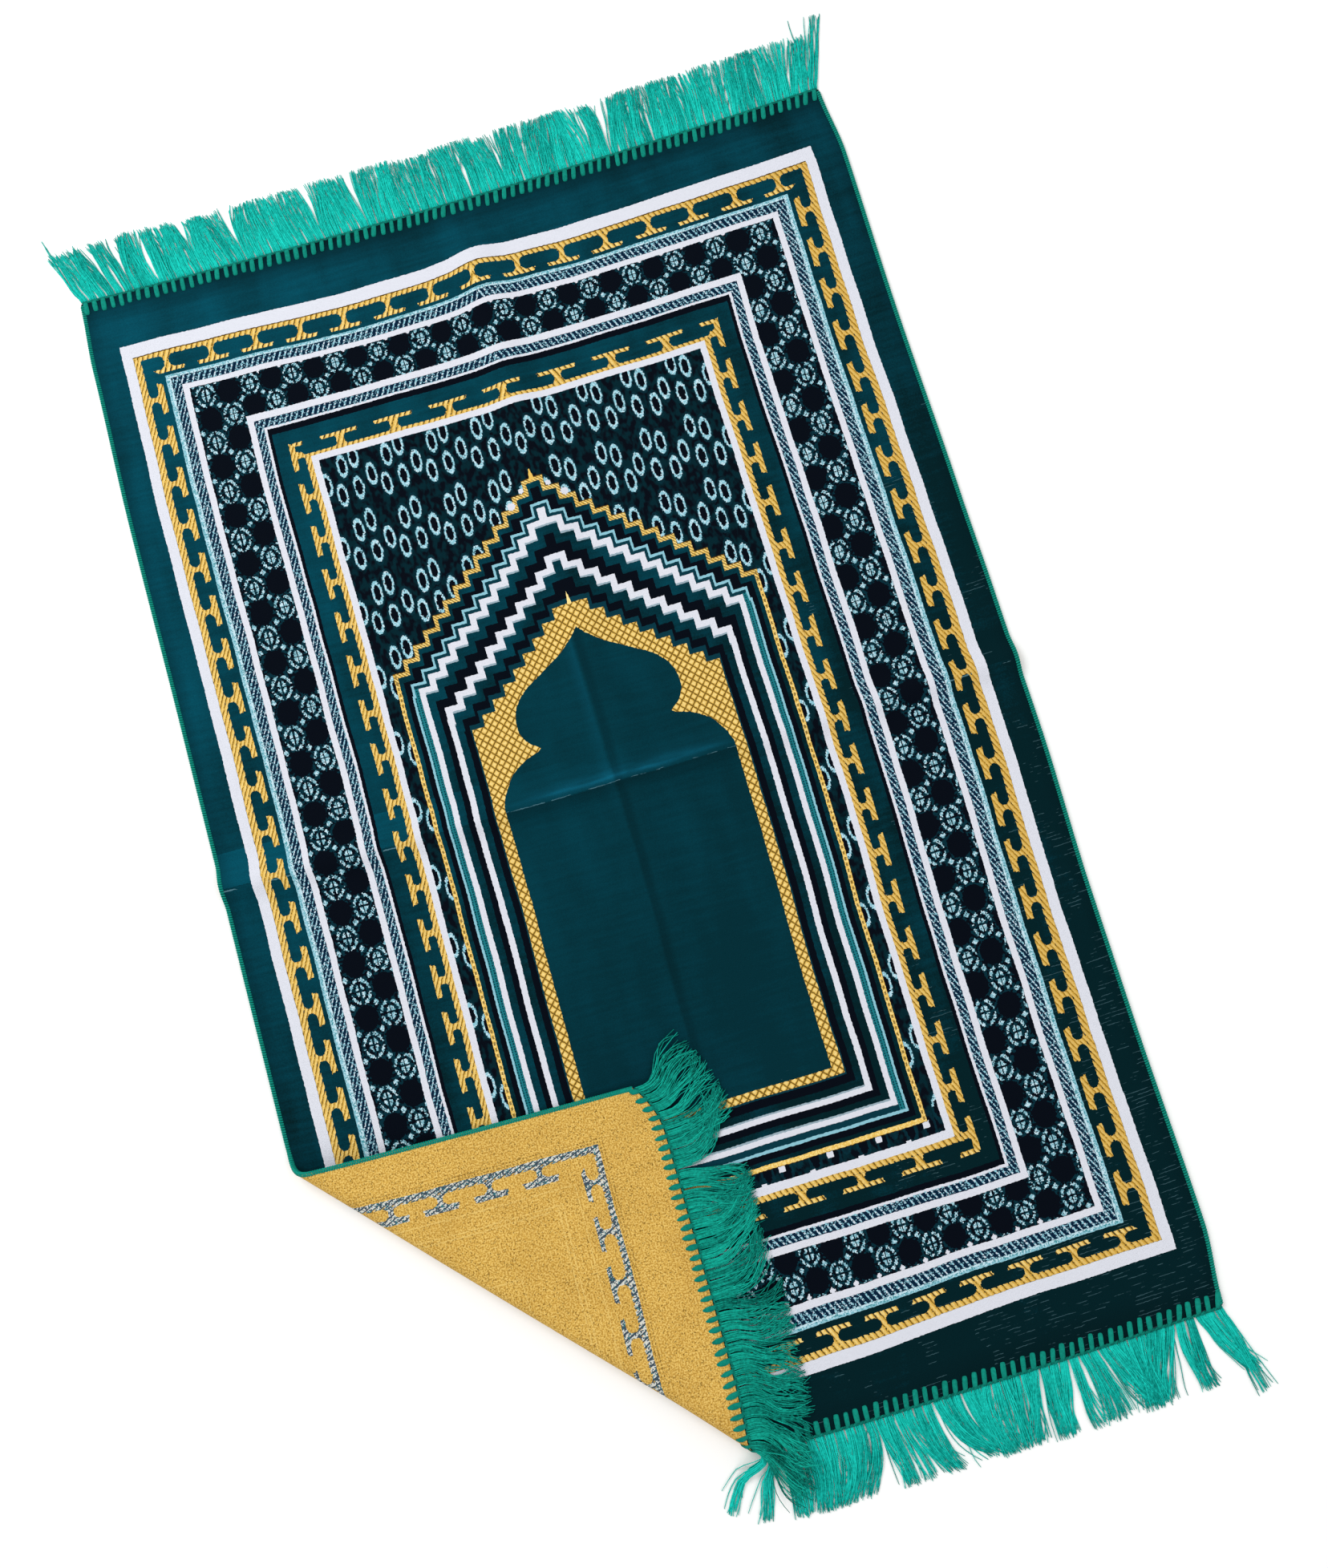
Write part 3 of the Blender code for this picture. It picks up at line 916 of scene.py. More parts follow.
class BorderVelvet(VelvetDraft):
    """The borders: white guards, twill ropes, gold T rows and the band of black medallions."""

    bands = (
        Band(170.0, Dye.WHITE), Band(175.4, Dye.EMERALD_DEEP, False), Band(203.5, Dye.NAVY_BLACK),
        Band(206.8, Dye.WHITE), Band(208.7, Dye.NAVY), Band(216.0, Dye.WHITE),
        Band(221.5, Dye.NAVY_BLACK), Band(263.0, Dye.WHITE), Band(268.5, Dye.NAVY),
        Band(276.6, Dye.FROST), Band(278.5, Dye.CYAN), Band(280.5, Dye.EMERALD_DEEP, False),
        Band(304.6, Dye.WHITE), Band(313.3, Dye.EMERALD_DEEP, False),
    )
    band_reach = (170.0, 322.0)
    navy_ropes = ((212.3, 3.7), (272.6, 3.9))
    rope_beads = (2.7, 0.95)  # pitch of the beads along a rope, and half the length of one
    blue_line = (278.6, 1.9)
    brown_rim = (304.6, 0.45)
    end_bar_reach = (280.0, 289.8)
    inner_end_bar = (190.0, 1.8)
    medallion_band = (242.2, 20.7)
    medallions_from = 221.5
    side_cell = (20.0, 22.36)  # one black round or rosette, across and along
    side_start = (241.2, 3.0)  # first column, and how much nearer it is on the right
    side_rise = 1.6
    end_cell = (19.05, 20.5)
    end_shift = (1.6, 0.8)  # shift of the columns at the head, and at both ends
    end_start = (1.2, 412.5)
    rosette = (7.6, 9.7)  # half width and half height of an oval
    black_round = (9.5, 10.9)
    flower = (3.4, 5.6)
    corner_reach = 19.4
    corner_strip = (261.2, 3.2)
    end_shade = (0.04, -20.3)  # painted shade: the pile darkens towards the stitches and the sides
    side_shade = (0.06, -19.6)

    def bands_mask(self, out: Signal) -> tuple[Signal, Signal]:
        """Weave the plain bands.

        Args:
            out: Distance out in the frame.

        Returns:
            Masks of the white bands, which stand up, and of the emerald left between the bands.
        """
        stops = [(band.start, linear(band.dye.value, float(band.shown))) for band in self.bands]
        node = self.ramp(out, self.band_reach, stops, "CONSTANT")
        self.throw(Signal(self.tree, node.outputs["Alpha"]), node.outputs["Color"])
        return Signal(self.tree, node.outputs["Color"]), ~Signal(self.tree, node.outputs["Alpha"])

    def twill_ropes(self, out: Signal) -> None:
        """Cross the two navy ropes with pale slanting strokes, and fleck the pale blue line.

        Args:
            out: Distance out in the frame.
        """
        ropes = self.lines(out, self.navy_ropes)
        beads = self.row(self.v, self.rope_beads) | (self.chance[2] > 0.7)
        self.throw(ropes & (self.chance[1] > 0.9) & 0.8, Dye.CYAN)
        self.throw(ropes & self.twill.near(0.9, 1.25) & beads & (self.chance[0] > 0.12), Dye.CYAN)
        self.throw(ropes & self.twill.near(0.9, 0.8) & beads & (self.chance[1] > 0.6), Dye.WHITE)
        line = out.near(*self.blue_line)
        self.throw(line & (self.chance[1] > 0.72), Dye.FROST)
        self.throw(line & (self.chance[2] > 0.72) & 0.8, Dye.SEA)

    def medallions(self, out: Signal) -> None:
        """Weave black rounds and flowered rosettes in turn, in two rows all round the band.

        Args:
            out: Distance out in the frame.
        """
        band = out.near(*self.medallion_band)
        side = self.tuft_ax > self.medallions_from
        head = self.tuft_v > 0.0
        right = self.tuft_x > 0.0
        start, shift = self.side_start
        column = (self.tuft_ax + right * shift - start).scaled(1 / self.side_cell[0])
        row = (self.woven_v + self.side_rise).scaled(1 / self.side_cell[1], 0.5)
        end_column = (self.tuft_x + head.scaled(*self.end_shift)).scaled(1 / self.end_cell[0], 0.5)
        end_row = (self.tuft_v.size() - head.scaled(*self.end_start)).scaled(1 / self.end_cell[1])
        across = self.choose(side, column, end_column)
        along = self.choose(side, row, end_row)
        odd = (across.reckon("FLOOR") + along.reckon("FLOOR")).repeated(2.0).size()
        lx = (across.reckon("FRACT") - 0.5).size() * self.side_cell[0]
        lv = (along.reckon("FRACT") - 0.5).size() * self.side_cell[1]
        rosette = band & odd
        rim, black = self.oval(lx, lv, *self.rosette), self.oval(lx, lv, *self.black_round)
        ground = band & (odd | (black > 1.0)) & (self.mottle(3.0) > 0.5)
        self.throw(ground & 0.7, Dye.PETROL)
        ring = rim.near(1.0, 0.26) & (lx > 1.2) & (lv > 1.2)
        breaks = (lx - lv * 0.7).repeated(5.2).near(0.0, 0.5)
        petals = (self.oval(lx, lv, *self.flower) < 1.05) & (lx > 0.6) & (lv > 0.7)
        corner = (lx * 1.1 + lv) > self.corner_reach
        drawn = (rosette & ((ring & ~breaks) | petals)) | (band & corner)
        self.throw(drawn & (self.chance[1] > 0.14) & 0.85, Dye.CYAN)
        self.throw(drawn & (self.chance[0] > 0.7), Dye.FROST)
        self.throw(out.near(*self.corner_strip) & corner & ~side, Dye.WHITE)

    def oval(self, across: Signal, along: Signal, half_width: float, half_height: float) -> Signal:
        """Square of the distance from an oval's middle, 1 on its rim."""
        tall = along * (1 / half_height)
        wide = across * (1 / half_width)
        return wide.reckon("MULTIPLY_ADD", wide, tall * tall)

    def finish(self) -> bpy.types.Material:
        """Weave the borders, from the ground up.

        Returns:
            The finished material.
        """
        self.ground()
        out, on_side = self.border()
        bright, plain = self.bands_mask(out)
        self.twill_ropes(out)
        self.medallions(out)
        gold = self.gold_frame(out, on_side)
        self.shade_gold(gold)
        # painted shade: the gold darkens towards the right side
        self.throw(gold & self.x.scaled(0.0012), Dye.GOLD_DEEP)
        low, high = self.end_bar_reach
        end_bars = gold & ~on_side & ((out < high) & (out > low) | out.near(*self.inner_end_bar))
        self.throw(end_bars & self.twill.near(-1.6, 0.9) & 0.8, Dye.EMERALD_DEEP)
        self.throw(end_bars & self.twill.near(1.6, 1.6) & 0.5, Dye.GOLD_LIGHT)
        self.throw(out.near(*self.brown_rim) & ~on_side & (self.v > 0.0), Dye.BROWN)
        # painted shade towards the stitches at both ends and along the sides
        self.throw(self.v.size().scaled(*self.end_shade) & 0.85, Dye.EMERALD_SHADE)
        self.throw(self.ax.scaled(*self.side_shade) & 0.6, Dye.EMERALD_SHADE)
        self.worn_weft_and_crest_highlight(plain & ~gold)
        return self.close(self.pile_relief(bright))


class FieldVelvet(VelvetDraft):
    """The field: rows of small rings, then stepped arches one inside another, down to the niche."""

    run_mm = 11.5
    rise_mm = 10.1
    ring_cell = (39.7, 58.2)
    ring_origin = (16.0, 234.0)
    ring_size = (3.7, 8.8)
    ring_middles = ((22.4, 277.0), (33.7, 271.0), (24.3, 248.8), (39.7, 245.9), (50.4, 257.8))
    arches = (
        Arch(272.3, 9.7, 158.8, 331.4, Dye.BROWN),
        Arch(271.6, 9.5, 158.5, 331.0, Dye.GOLD),
        Arch(268.0, 6.3, 155.2, 327.3, Dye.EMERALD_SHADE),
        Arch(263.2, 4.0, 151.6, 324.0, Dye.NAVY_BLACK),
        Arch(250.0, 8.0, 147.2, 319.0, Dye.CYAN),
        Arch(247.7, 6.2, 145.4, 316.6, Dye.PETROL),
        Arch(244.8, 3.5, 140.6, 311.6, Dye.WHITE),
        Arch(229.8, 9.7, 135.8, 307.2, Dye.SILVER),
        Arch(228.2, 9.7, 135.8, 305.7, Dye.EMERALD_DEEP),
        Arch(220.6, 4.2, 129.6, 301.0, Dye.NAVY_BLACK),
        Arch(203.0, 9.0, 124.6, 295.4, Dye.WHITE),
        Arch(198.0, 3.6, 119.6, 291.0, Dye.SILVER),
        Arch(196.4, 3.6, 119.6, 289.6, Dye.EMERALD_DEEP),
        Arch(179.4, 9.0, 113.6, 284.0, Dye.NAVY_BLACK),
        Arch(162.6, 18.0, 108.2, 277.2, Dye.PETROL),
        Arch(158.3, 15.0, 107.0, 275.7, Dye.GOLD),
    )
    trimmed_arch = 5  # the gold line and its strip are trimmed once this arch is laid
    white_arch = 6
    halo = 2.3  # reach of a ring's petrol halo, of its hollow and of the ring itself, squared
    hollow = 0.9
    ring_line = (1.02, 0.42)
    rings_from = -322.0
    hanging = (-333.5, 2.6)  # white marks over the sill
    hanging_run = (3.0, 2.6)
    sill_bumps = (-342.5, 1.6)
    bump_run = (20.0, 2.2)
    mark_pitch = 40.0
    field_reach = (170.0, 340.3, -342.3)  # across, to the head and to the foot
    strip_line = (143.2, 2.3)
    strip_dots = ((142.2, 0.6), (144.6, 0.5))
    strip_below = 124.0
    gold_beads = (156.8, 0.8)
    bead_run = (4.9, 1.3)  # pitch along the line, and half the length of one
    tick_run = (2.9, 0.6)
    dot_run = (2.1, 0.65)
    ticks_above = 130.0
    lozenge = (6.7, 7.4)
    spike = ((-0.16, 27.0), (163.0, 5.5))  # taper, and place along
    crown = ((-0.2, 56.4), (275.0, 5.0))
    buds = ((12.3, 263.6, 2.2), (23.6, 253.6, 3.4))
    # painted highlight and painted shade along the niche's two creases
    sheen_fade_across = (-0.012, 1.25)
    fold_highlight = ((1.5, 0.0), (4.5, 0.3), (7.0, 1.0), (9.5, 0.5), (15.0, 0.12), (24.0, 0.0))
    fold_shade = ((-9.0, 0.0), (-3.0, 0.6), (1.2, 1.0), (2.4, 0.0))
    # crest of the crosswise fold in the niche, where a pale line is partly wear and partly painted highlight
    niche_fold_crest = (2.1, 0.35)
    long_highlight = ((-17.0, 0.0), (-8.0, 1.0), (-5.5, 0.0))
    long_highlight_along = (0.0010, 0.05)
    long_shade = ((-6.0, 0.0), (-3.5, 1.0), (0.0, 0.9), (4.5, 0.0))
    niche_sill = 269.0
    niche_outline = (
        (-10.0, 98.0), (7.0, 98.0), (16.0, 95.5), (22.0, 92.0), (28.0, 88.0), (31.5, 85.0), (36.5, 78.0),
        (41.0, 70.0), (44.0, 60.0), (46.5, 55.5), (52.0, 63.0), (57.0, 67.0), (64.0, 70.0), (72.0, 70.3),
        (80.0, 69.0), (87.0, 66.0), (93.0, 61.0), (98.0, 56.0), (102.0, 50.0), (107.5, 40.0),
        (113.5, 30.0), (119.0, 20.0), (124.5, 13.0), (130.5, 6.0), (137.0, 0.5), (138.0, 0.0),
    )

    def inside(self, arch: Arch) -> Signal:
        """Find all that is inside a stepped arch.

        Args:
            arch: The arch.

        Returns:
            Mask of its inside.
        """
        steps = (self.ax - arch.first).scaled(1 / self.run_mm).reckon("CEIL") | 0.0
        headroom = steps.scaled(-self.rise_mm, arch.top) - self.v
        room = headroom.reckon("MINIMUM", self.ax.scaled(-1.0, arch.half_width))
        return room.reckon("MINIMUM", self.v + arch.sill) > 0.0

    def rings(self) -> Signal:
        """Set out the small rings: a pair, then a chain of three, in turn.

        Returns:
            Square of the distance from the middle of the nearest one, 1 on its line.
        """
        (across, along), (left, foot) = self.ring_cell, self.ring_origin
        cell_x = self.tuft_ax.reckon("WRAP", left + across, left)
        cell_v = self.tuft_v.reckon("WRAP", foot + along, foot)
        wide, tall = (1 / size for size in self.ring_size)
        nearest = None
        for middle_x, middle_v in self.ring_middles:
            dx = cell_x.scaled(wide, -middle_x * wide)
            dv = cell_v.scaled(tall, -middle_v * tall)
            reach = dx.reckon("MULTIPLY_ADD", dx, dv * dv)
            nearest = reach if nearest is None else nearest.reckon("MINIMUM", reach)
        return nearest

    def niche(self) -> Signal:
        """Mask of the plain niche: an ogee arch on straight jambs."""
        reach = self.gauge(self.v, self.niche_outline)
        return (self.ax < reach) & (self.v > -self.niche_sill)

    def lattice(self, gold: Signal) -> None:
        """Cross the gold arch with brown diagonals, which leave pale lozenges.

        Args:
            gold: Mask of the gold arch.
        """
        across, along = (self.ax.scaled(1 / self.lozenge[0]), self.v.scaled(1 / self.lozenge[1]))
        rising, falling = across + along, across - along
        edge = rising.repeated(1.0).size().reckon("MINIMUM", falling.repeated(1.0).size())
        self.throw(gold & (edge > 0.24) & 0.85, Dye.GOLD_LIGHT)
        self.throw(gold & self.chance[1] & 0.3, Dye.GOLD_DEEP)
        self.throw(gold & (edge < 0.11) & 0.85, Dye.BROWN)

    def field_ground(self) -> None:
        """Weave the dark field with its small pale rings, each black inside with a petrol halo."""
        self.throw(1.0, Dye.NAVY_BLACK)
        self.throw(self.mottle(6.0, (0.8, 1.3)).scaled(5.0, -2.1), Dye.MOSS)
        rings = self.rings()
        self.throw((rings < self.halo) & 0.45, Dye.PETROL)
        self.throw(rings < self.hollow, Dye.NAVY_BLACK)
        ring = rings.near(*self.ring_line) & (self.v > self.rings_from)
        self.throw(ring & (self.chance[1] > 0.06), Dye.CYAN)
        self.throw(ring & (self.chance[0] > 0.7), Dye.FROST)
        self.throw(self.v.near(*self.hanging) & self.marks(*self.hanging_run), Dye.WHITE)

    def marks(self, start: float, half: float) -> Signal:
        """Mask of short marks in a row across, from their start and half their length."""
        return self.x.scaled(1.0, start).repeated(self.mark_pitch).near(0.0, half)

    def trim(self, gold_line: Signal, between: Signal) -> None:
        """Twist the gold line with brown, and dot the strip between the pale line and the white one.

        Args:
            gold_line: Mask of the outermost arch.
            between: Mask of all inside the pale line.
        """
        beads = self.row(self.v, self.bead_run) & self.ax.near(*self.gold_beads)
        ticks = self.row(self.v + self.x, self.tick_run) & (self.v > self.ticks_above)
        self.throw(gold_line & (self.chance[0] > 0.6) & 0.8, Dye.GOLD_LIGHT)
        self.throw(gold_line & (beads | ticks) & 0.75, Dye.BROWN)
        strip = between & (self.v < self.strip_below) & self.ax.near(*self.strip_line)
        self.throw(strip & 0.75, Dye.SEA)
        dots = self.lines(self.ax, self.strip_dots)
        self.throw(strip & dots & self.row(self.v, self.dot_run), Dye.PETROL)

    def weave_arches(self, ground: bpy.types.NodeSocket) -> tuple[Signal, Signal]:
        """Lay the stepped arches one inside another.

        Args:
            ground: Colour of the emerald pile, which shows in the arches of that yarn.

        Returns:
            Masks of all inside the white arch, and of all inside the innermost one.
        """
        shapes = [self.inside(arch) for arch in self.arches]
        for number, (arch, shape) in enumerate(zip(self.arches, shapes)):
            self.throw(shape, ground if arch.dye in (Dye.EMERALD_DEEP, Dye.EMERALD_SHADE) else arch.dye)
            if number == self.trimmed_arch:
                self.trim(shapes[1] & ~shapes[2], shape)
        return shapes[self.white_arch], shapes[-1]

    def finish(self) -> bpy.types.Material:
        """Weave the field, from its dark ground to the niche.

        Returns:
            The finished material.
        """
        painted_sheen_and_tone = self.ground()
        ground = self.colour
        self.field_ground()
        white, gold = self.weave_arches(ground)
        niche = self.niche()
        self.lattice(gold)
        self.throw(self.tip(*self.spike), Dye.GOLD_LIGHT)
        self.throw(niche, ground)
        self.throw(self.tip(*self.crown), Dye.GOLD)
        self.throw(functools.reduce(operator.or_, [self.spot(*bud) for bud in self.buds]), Dye.WHITE)
        side, head, foot = self.field_reach
        bumps = self.v.near(*self.sill_bumps) & self.marks(*self.bump_run)
        self.throw((self.v > head) | (self.v < foot) | bumps, Dye.WHITE)
        self.throw(self.ax > side, Dye.WHITE)
        self.fold_light_and_shade(niche)
        self.worn_weft_and_crest_highlight(niche)
        return self.close(self.pile_relief(white * 0.4 + gold * 0.3 + painted_sheen_and_tone * 0.2))

    def fold_light_and_shade(self, niche: Signal) -> None:
        """Even the niche's pile, and paint light and shade along the two creases: painted shade in each,
        painted highlight beside it.

        Args:
            niche: Mask of the niche.
        """
        self.throw(niche & 0.5, Dye.EMERALD)
        # painted highlight beside the crosswise fold, in patches that fade towards the sides
        sheen_patches = self.mottle(16.0, (2.0, 0.4)).scaled(1.3) & self.ax.scaled(*self.sheen_fade_across)
        self.throw(niche & self.gauge(self.v, self.fold_highlight) & sheen_patches & 0.9, Dye.EMERALD_PAINTED_SHEEN)
        # painted shade in the crosswise fold
        self.throw(niche & self.gauge(self.v, self.fold_shade) & 0.5, Dye.EMERALD_SHADE)
        # painted highlight beside the lengthwise fold, then painted shade in it
        light = niche & self.gauge(self.x, self.long_highlight) & self.v.scaled(*self.long_highlight_along)
        self.throw(light, Dye.EMERALD_PAINTED_SHEEN)
        self.throw(niche & self.gauge(self.x, self.long_shade) & 0.42, Dye.EMERALD_SHADE)
        # pale line on the crest of the crosswise fold in the niche: partly wear, partly painted highlight
        thread = self.v.near(*self.niche_fold_crest) & (self.mottle(6.0, (2.5, 0.4)) > 0.54)
        self.throw(niche & thread & 0.2, Dye.CYAN)

    def tip(self, taper: tuple[float, float], place: tuple[float, float]) -> Signal:
        """Mask of a tapering tip on the middle, at a place along the rug."""
        return (self.ax < self.v.scaled(*taper)) & self.v.near(*place)

    def spot(self, ax: float, v: float, radius: float) -> Signal:
        """Mask of a round spot on both sides of the middle."""
        dx, dv = self.tuft_ax - ax, self.tuft_v - v
        return dx.reckon("MULTIPLY_ADD", dx, dv * dv) < radius * radius


class ReverseWeave(Draft):
    """The back: flat-woven mustard weft, ribbed and matt, speckled grey where the face is gold."""

    sheen = 0.03
    gloss = 0.1
    relief_mm = 0.8
    stitch_lines = ((306.2, 0.45), (308.6, 0.45))
    stitch_run = (2.6, 0.75)
    pale_lines = ((263.0, 0.5), (266.2, 0.5), (278.4, 0.6), (221.0, 0.5))
    rib_mm = 1.8  # real ribs are 0.6 mm apart; drawn as coarse as they need to show

    def finish(self) -> bpy.types.Material:
        """Weave the reverse.

        Returns:
            The finished material.
        """
        out, on_side = self.border()
        self.throw(1.0, Dye.MUSTARD)
        grain = self.mottle(1.3)
        self.throw((grain < 0.44) & 0.55, Dye.MUSTARD_DEEP)
        self.throw((grain > 0.57) & 0.7, Dye.MUSTARD_LIGHT)
        self.throw(self.mottle(30.0).scaled(1.4, -0.55) & 0.3, Dye.MUSTARD_DEEP)
        self.throw((self.chance[1] > 0.95) & 0.6, Dye.BROWN)
        dots = self.row(self.choose(on_side, self.woven_v, self.tuft_x), self.stitch_run)
        self.throw(self.lines(out, self.stitch_lines) & dots & 0.5, Dye.BROWN)
        pale = self.lines(out, self.pale_lines)
        self.throw(pale & (self.chance[2] > 0.25) & 0.6, Dye.MUSTARD_LIGHT)
        turned = self.gold_frame(out, on_side)
        self.throw(turned, Dye.BONE)
        self.throw(turned & self.twill.near(0.4, 1.2), Dye.SLATE)
        self.throw(turned & (self.chance[0] > 0.6), Dye.SLATE)
        self.throw(turned & (self.chance[1] > 0.86) & 0.6, Dye.SEA)
        ribs = self.tuft_x.repeated(self.rib_mm).size() * 0.3
        return self.close(self.chance[2] * 0.4 + ribs + grain * 0.9 + pale * 0.4)


@dataclass
class WovenCloth:
    """The cloth: one closed sheet with a velvet face, a flat-woven back and cut edges."""

    step: float = 0.00425
    field_edge: float = 0.1725
    field_head: float = 0.3430
    field_foot: float = -0.3455
    bake_gap: float = 0.020  # between the face and the back on the bake map
    bake_margin: float = 0.010
    bake_slack: float = 0.060  # room on the bake map past the widths of the face and the back

    def lines(self, low: float, high: float, exact: tuple[float, ...]) -> np.ndarray:
        """Place even mesh lines, with the nearest one moved to each exact place.

        Args:
            low: First line.
            high: Last line.
            exact: Places that need a line of their own.

        Returns:
            The places of the lines.
        """
        places = np.linspace(low, high, round((high - low) / self.step) + 1)
        for place in exact:
            places[np.abs(places - place).argmin()] = place
        return places

    def build(self) -> bpy.types.Object:
        """Make the sheet on the flat, lay it, and give it its finishes.

        Returns:
            The cloth.
        """
        across = self.lines(-LAY.half_width, LAY.half_width, (-self.field_edge, self.field_edge))
        along = self.lines(-LAY.half_length, LAY.half_length, (self.field_foot, self.field_head))
        columns, rows = len(across), len(along)
        grid_x, grid_y = np.meshgrid(across, along)
        flat = np.stack([grid_x, grid_y, np.full_like(grid_x, LAY.thickness)], axis=-1).reshape(-1, 3)
        back = flat * (1.0, 1.0, 0.0)
        sheet = np.concatenate([flat, back])
        number = np.arange(rows * columns).reshape(rows, columns)
        a, b = number[:-1, :-1].ravel(), number[:-1, 1:].ravel()
        c, d = number[1:, 1:].ravel(), number[1:, :-1].ravel()
        front = np.concatenate([np.stack([a, b, d], 1), np.stack([b, c, d], 1)])
        under = front[:, ::-1] + rows * columns
        rim = np.concatenate([number[0, :-1], number[:-1, -1], number[-1, :0:-1], number[:0:-1, 0]])
        after = np.roll(rim, -1)
        lower = rows * columns
        edge = np.stack([rim, rim + lower, after + lower, after], 1)
        faces = front.tolist() + under.tolist() + edge.tolist()
        border = BorderVelvet("velvet_pile_border").finish()
        cloth = new_piece("woven_cloth", LAY.place(sheet), faces, border)
        cloth.data.materials.append(FieldVelvet("velvet_pile_field").finish())
        cloth.data.materials.append(ReverseWeave("flat_woven_back").finish())
        cut_edge = SpunYarn("cut_edge_yarn", Dye.EMERALD_LIGHT, Dye.EMERALD_SHADE)
        cloth.data.materials.append(cut_edge.material())
        middle = sheet[front].mean(axis=1)
        field = (np.abs(middle[:, 0]) < self.field_edge) & (middle[:, 1] < self.field_head)
        field &= middle[:, 1] > self.field_foot
        finishes = np.concatenate([field.astype(int), np.full(len(under), 2), np.full(len(edge), 3)])
        cloth.data.polygons.foreach_set("material_index", finishes)
        self.unwrap(cloth, sheet, len(flat))
        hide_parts("cloth")
        return cloth

    def unwrap(self, cloth: bpy.types.Object, sheet: np.ndarray, face_points: int) -> None:
        """Keep the flat sheet as the plan map in millimetres, and as a bake map with the back beside it.

        Args:
            cloth: The cloth.
            sheet: Its vertices on the flat sheet.
            face_points: How many of them are on the face.
        """
        vertices = np.zeros(len(cloth.data.loops), int)
        cloth.data.loops.foreach_get("vertex_index", vertices)
        plan = sheet[vertices, :2] / MILLIMETRE
        cloth.data.uv_layers.new(name=PLAN_MAP).data.foreach_set("uv", plan.ravel())
        beside = np.where(vertices >= face_points, LAY.width + self.bake_gap, 0.0)
        across = sheet[vertices, 0] + LAY.half_width + beside
        spread = np.stack([across, sheet[vertices, 1] + LAY.half_length], 1) + self.bake_margin
        spread = spread / (2 * LAY.width + self.bake_slack)
        cloth.data.uv_layers.new(name=BAKE_MAP).data.foreach_set("uv", spread.ravel())


class End(Enum):
    """An end of the rug: name, direction along the sheet, combing, slant of the stitches, stray locks.

    The combing and the slant are pairs of a place across and degrees. A stray lock at a corner is its
    place in the row, its lean in degrees and its length.
    """

    HEAD = (
        "head", 1.0,
        (
            (-0.34, -26.0), (-0.32, -20.0), (-0.30, -14.0), (-0.14, -12.0), (-0.06, -7.0), (0.04, -3.0),
            (0.20, 0.0), (0.30, 4.0), (0.335, 14.0),
        ),
        ((-0.34, 0.0), (-0.24, -3.0), (-0.10, -9.0), (0.10, -13.0), (0.34, -17.0)),
        ((0, -26.0, 0.070), (-1, 14.0, 0.070)),
    )
    FOOT = (
        "foot", -1.0,
        (
            (-0.34, 20.0), (-0.32, 14.0), (-0.305, 4.0), (-0.285, -10.0), (-0.24, -16.0), (-0.20, -6.0),
            (-0.16, -14.0), (-0.12, -22.0), (-0.09, -34.0), (-0.052, -40.0), (-0.047, -24.0), (-0.036, -18.0),
            (-0.027, 8.0), (0.07, 3.0), (0.12, -3.0), (0.21, -5.0), (0.222, 14.0), (0.25, 15.0), (0.262, 7.0),
            (0.28, -12.0), (0.30, -10.0), (0.308, 8.0), (0.325, 12.0), (0.34, 20.0),
        ),
        ((-0.34, 0.0), (-0.06, 4.0), (0.34, 13.0)),
        ((-1, 17.0, 0.070),),
    )

    @property
    def sign(self) -> float:
        """Direction along the sheet."""
        return self.value[1]

    def combed(self, across: np.ndarray) -> np.ndarray:
        """How far the yarns lean, in radians."""
        return np.radians(np.interp(across, *zip(*self.value[2])))

    def slant(self, across: np.ndarray) -> np.ndarray:
        """How far the stitches slant, in radians."""
        return np.radians(np.interp(across, *zip(*self.value[3])))


@dataclass
class LockRow:
    """The locks of one end: where each is rooted and how it hangs together with its neighbours."""

    end: End
    count: int = 85
    gap: float = 0.0004
    heading_depth: float = 0.004
    length: float = 0.054
    length_spread: float = 0.004
    tuft_sizes: tuple[int, ...] = (4, 2, 3, 5, 2, 3, 3, 4, 2, 5)
    tuft_draw: float = 0.36
    tuft_lean: float = math.radians(5.0)
    tuft_bend: float = 5.0  # how much further a tuft may turn towards its tips than it leans
    lock_lean: float = math.radians(4.0)
    floor_fan: float = math.radians(42.0)
    floor_fan_end: float = math.radians(100.0)
    clearance: float = 0.0010
    seed: int = 11

    def __post_init__(self) -> None:
        """Work out the style of every lock."""
        self.pitch = LAY.width / self.count
        self.across = -LAY.half_width + self.pitch * (np.arange(self.count) + 0.5)
        name, _, _, _, strays = self.end.value
        chance = random.Random(f"{self.seed}{name}")
        styles = []
        for size in itertools.cycle(self.tuft_sizes):
            lean = chance.uniform(-self.tuft_lean, self.tuft_lean)
            tuft_length = self.length + chance.uniform(-self.length_spread, self.length_spread)
            bend = self.tuft_bend * lean * math.sin(7.0 * size + len(styles))
            for place in range(size):
                draw = ((size - 1) / 2 - place) * self.pitch * self.tuft_draw
                own = lean + chance.uniform(-self.lock_lean, self.lock_lean)
                styles.append((own, draw, tuft_length + chance.uniform(0.0, self.length_spread) / 2, bend))
            if len(styles) >= self.count:
                break
        styles = styles[: self.count]
        for place, degrees, length in strays:
            styles[place] = (math.radians(degrees), 0.0, length, 0.0)
        self.lean, self.draw, self.lengths, self.bend = np.array(styles).T
        self.strays = np.isin(np.arange(self.count), [place % self.count for place, _, _ in strays])
        root_along = np.full(self.count, self.end.sign * (LAY.half_length + self.gap + self.heading_depth))
        self.angle = LAY.roll_angle(self.across, root_along)
        self.parting = 0 if self.end is End.HEAD else int(np.argmax(self.angle < self.floor_fan_end))


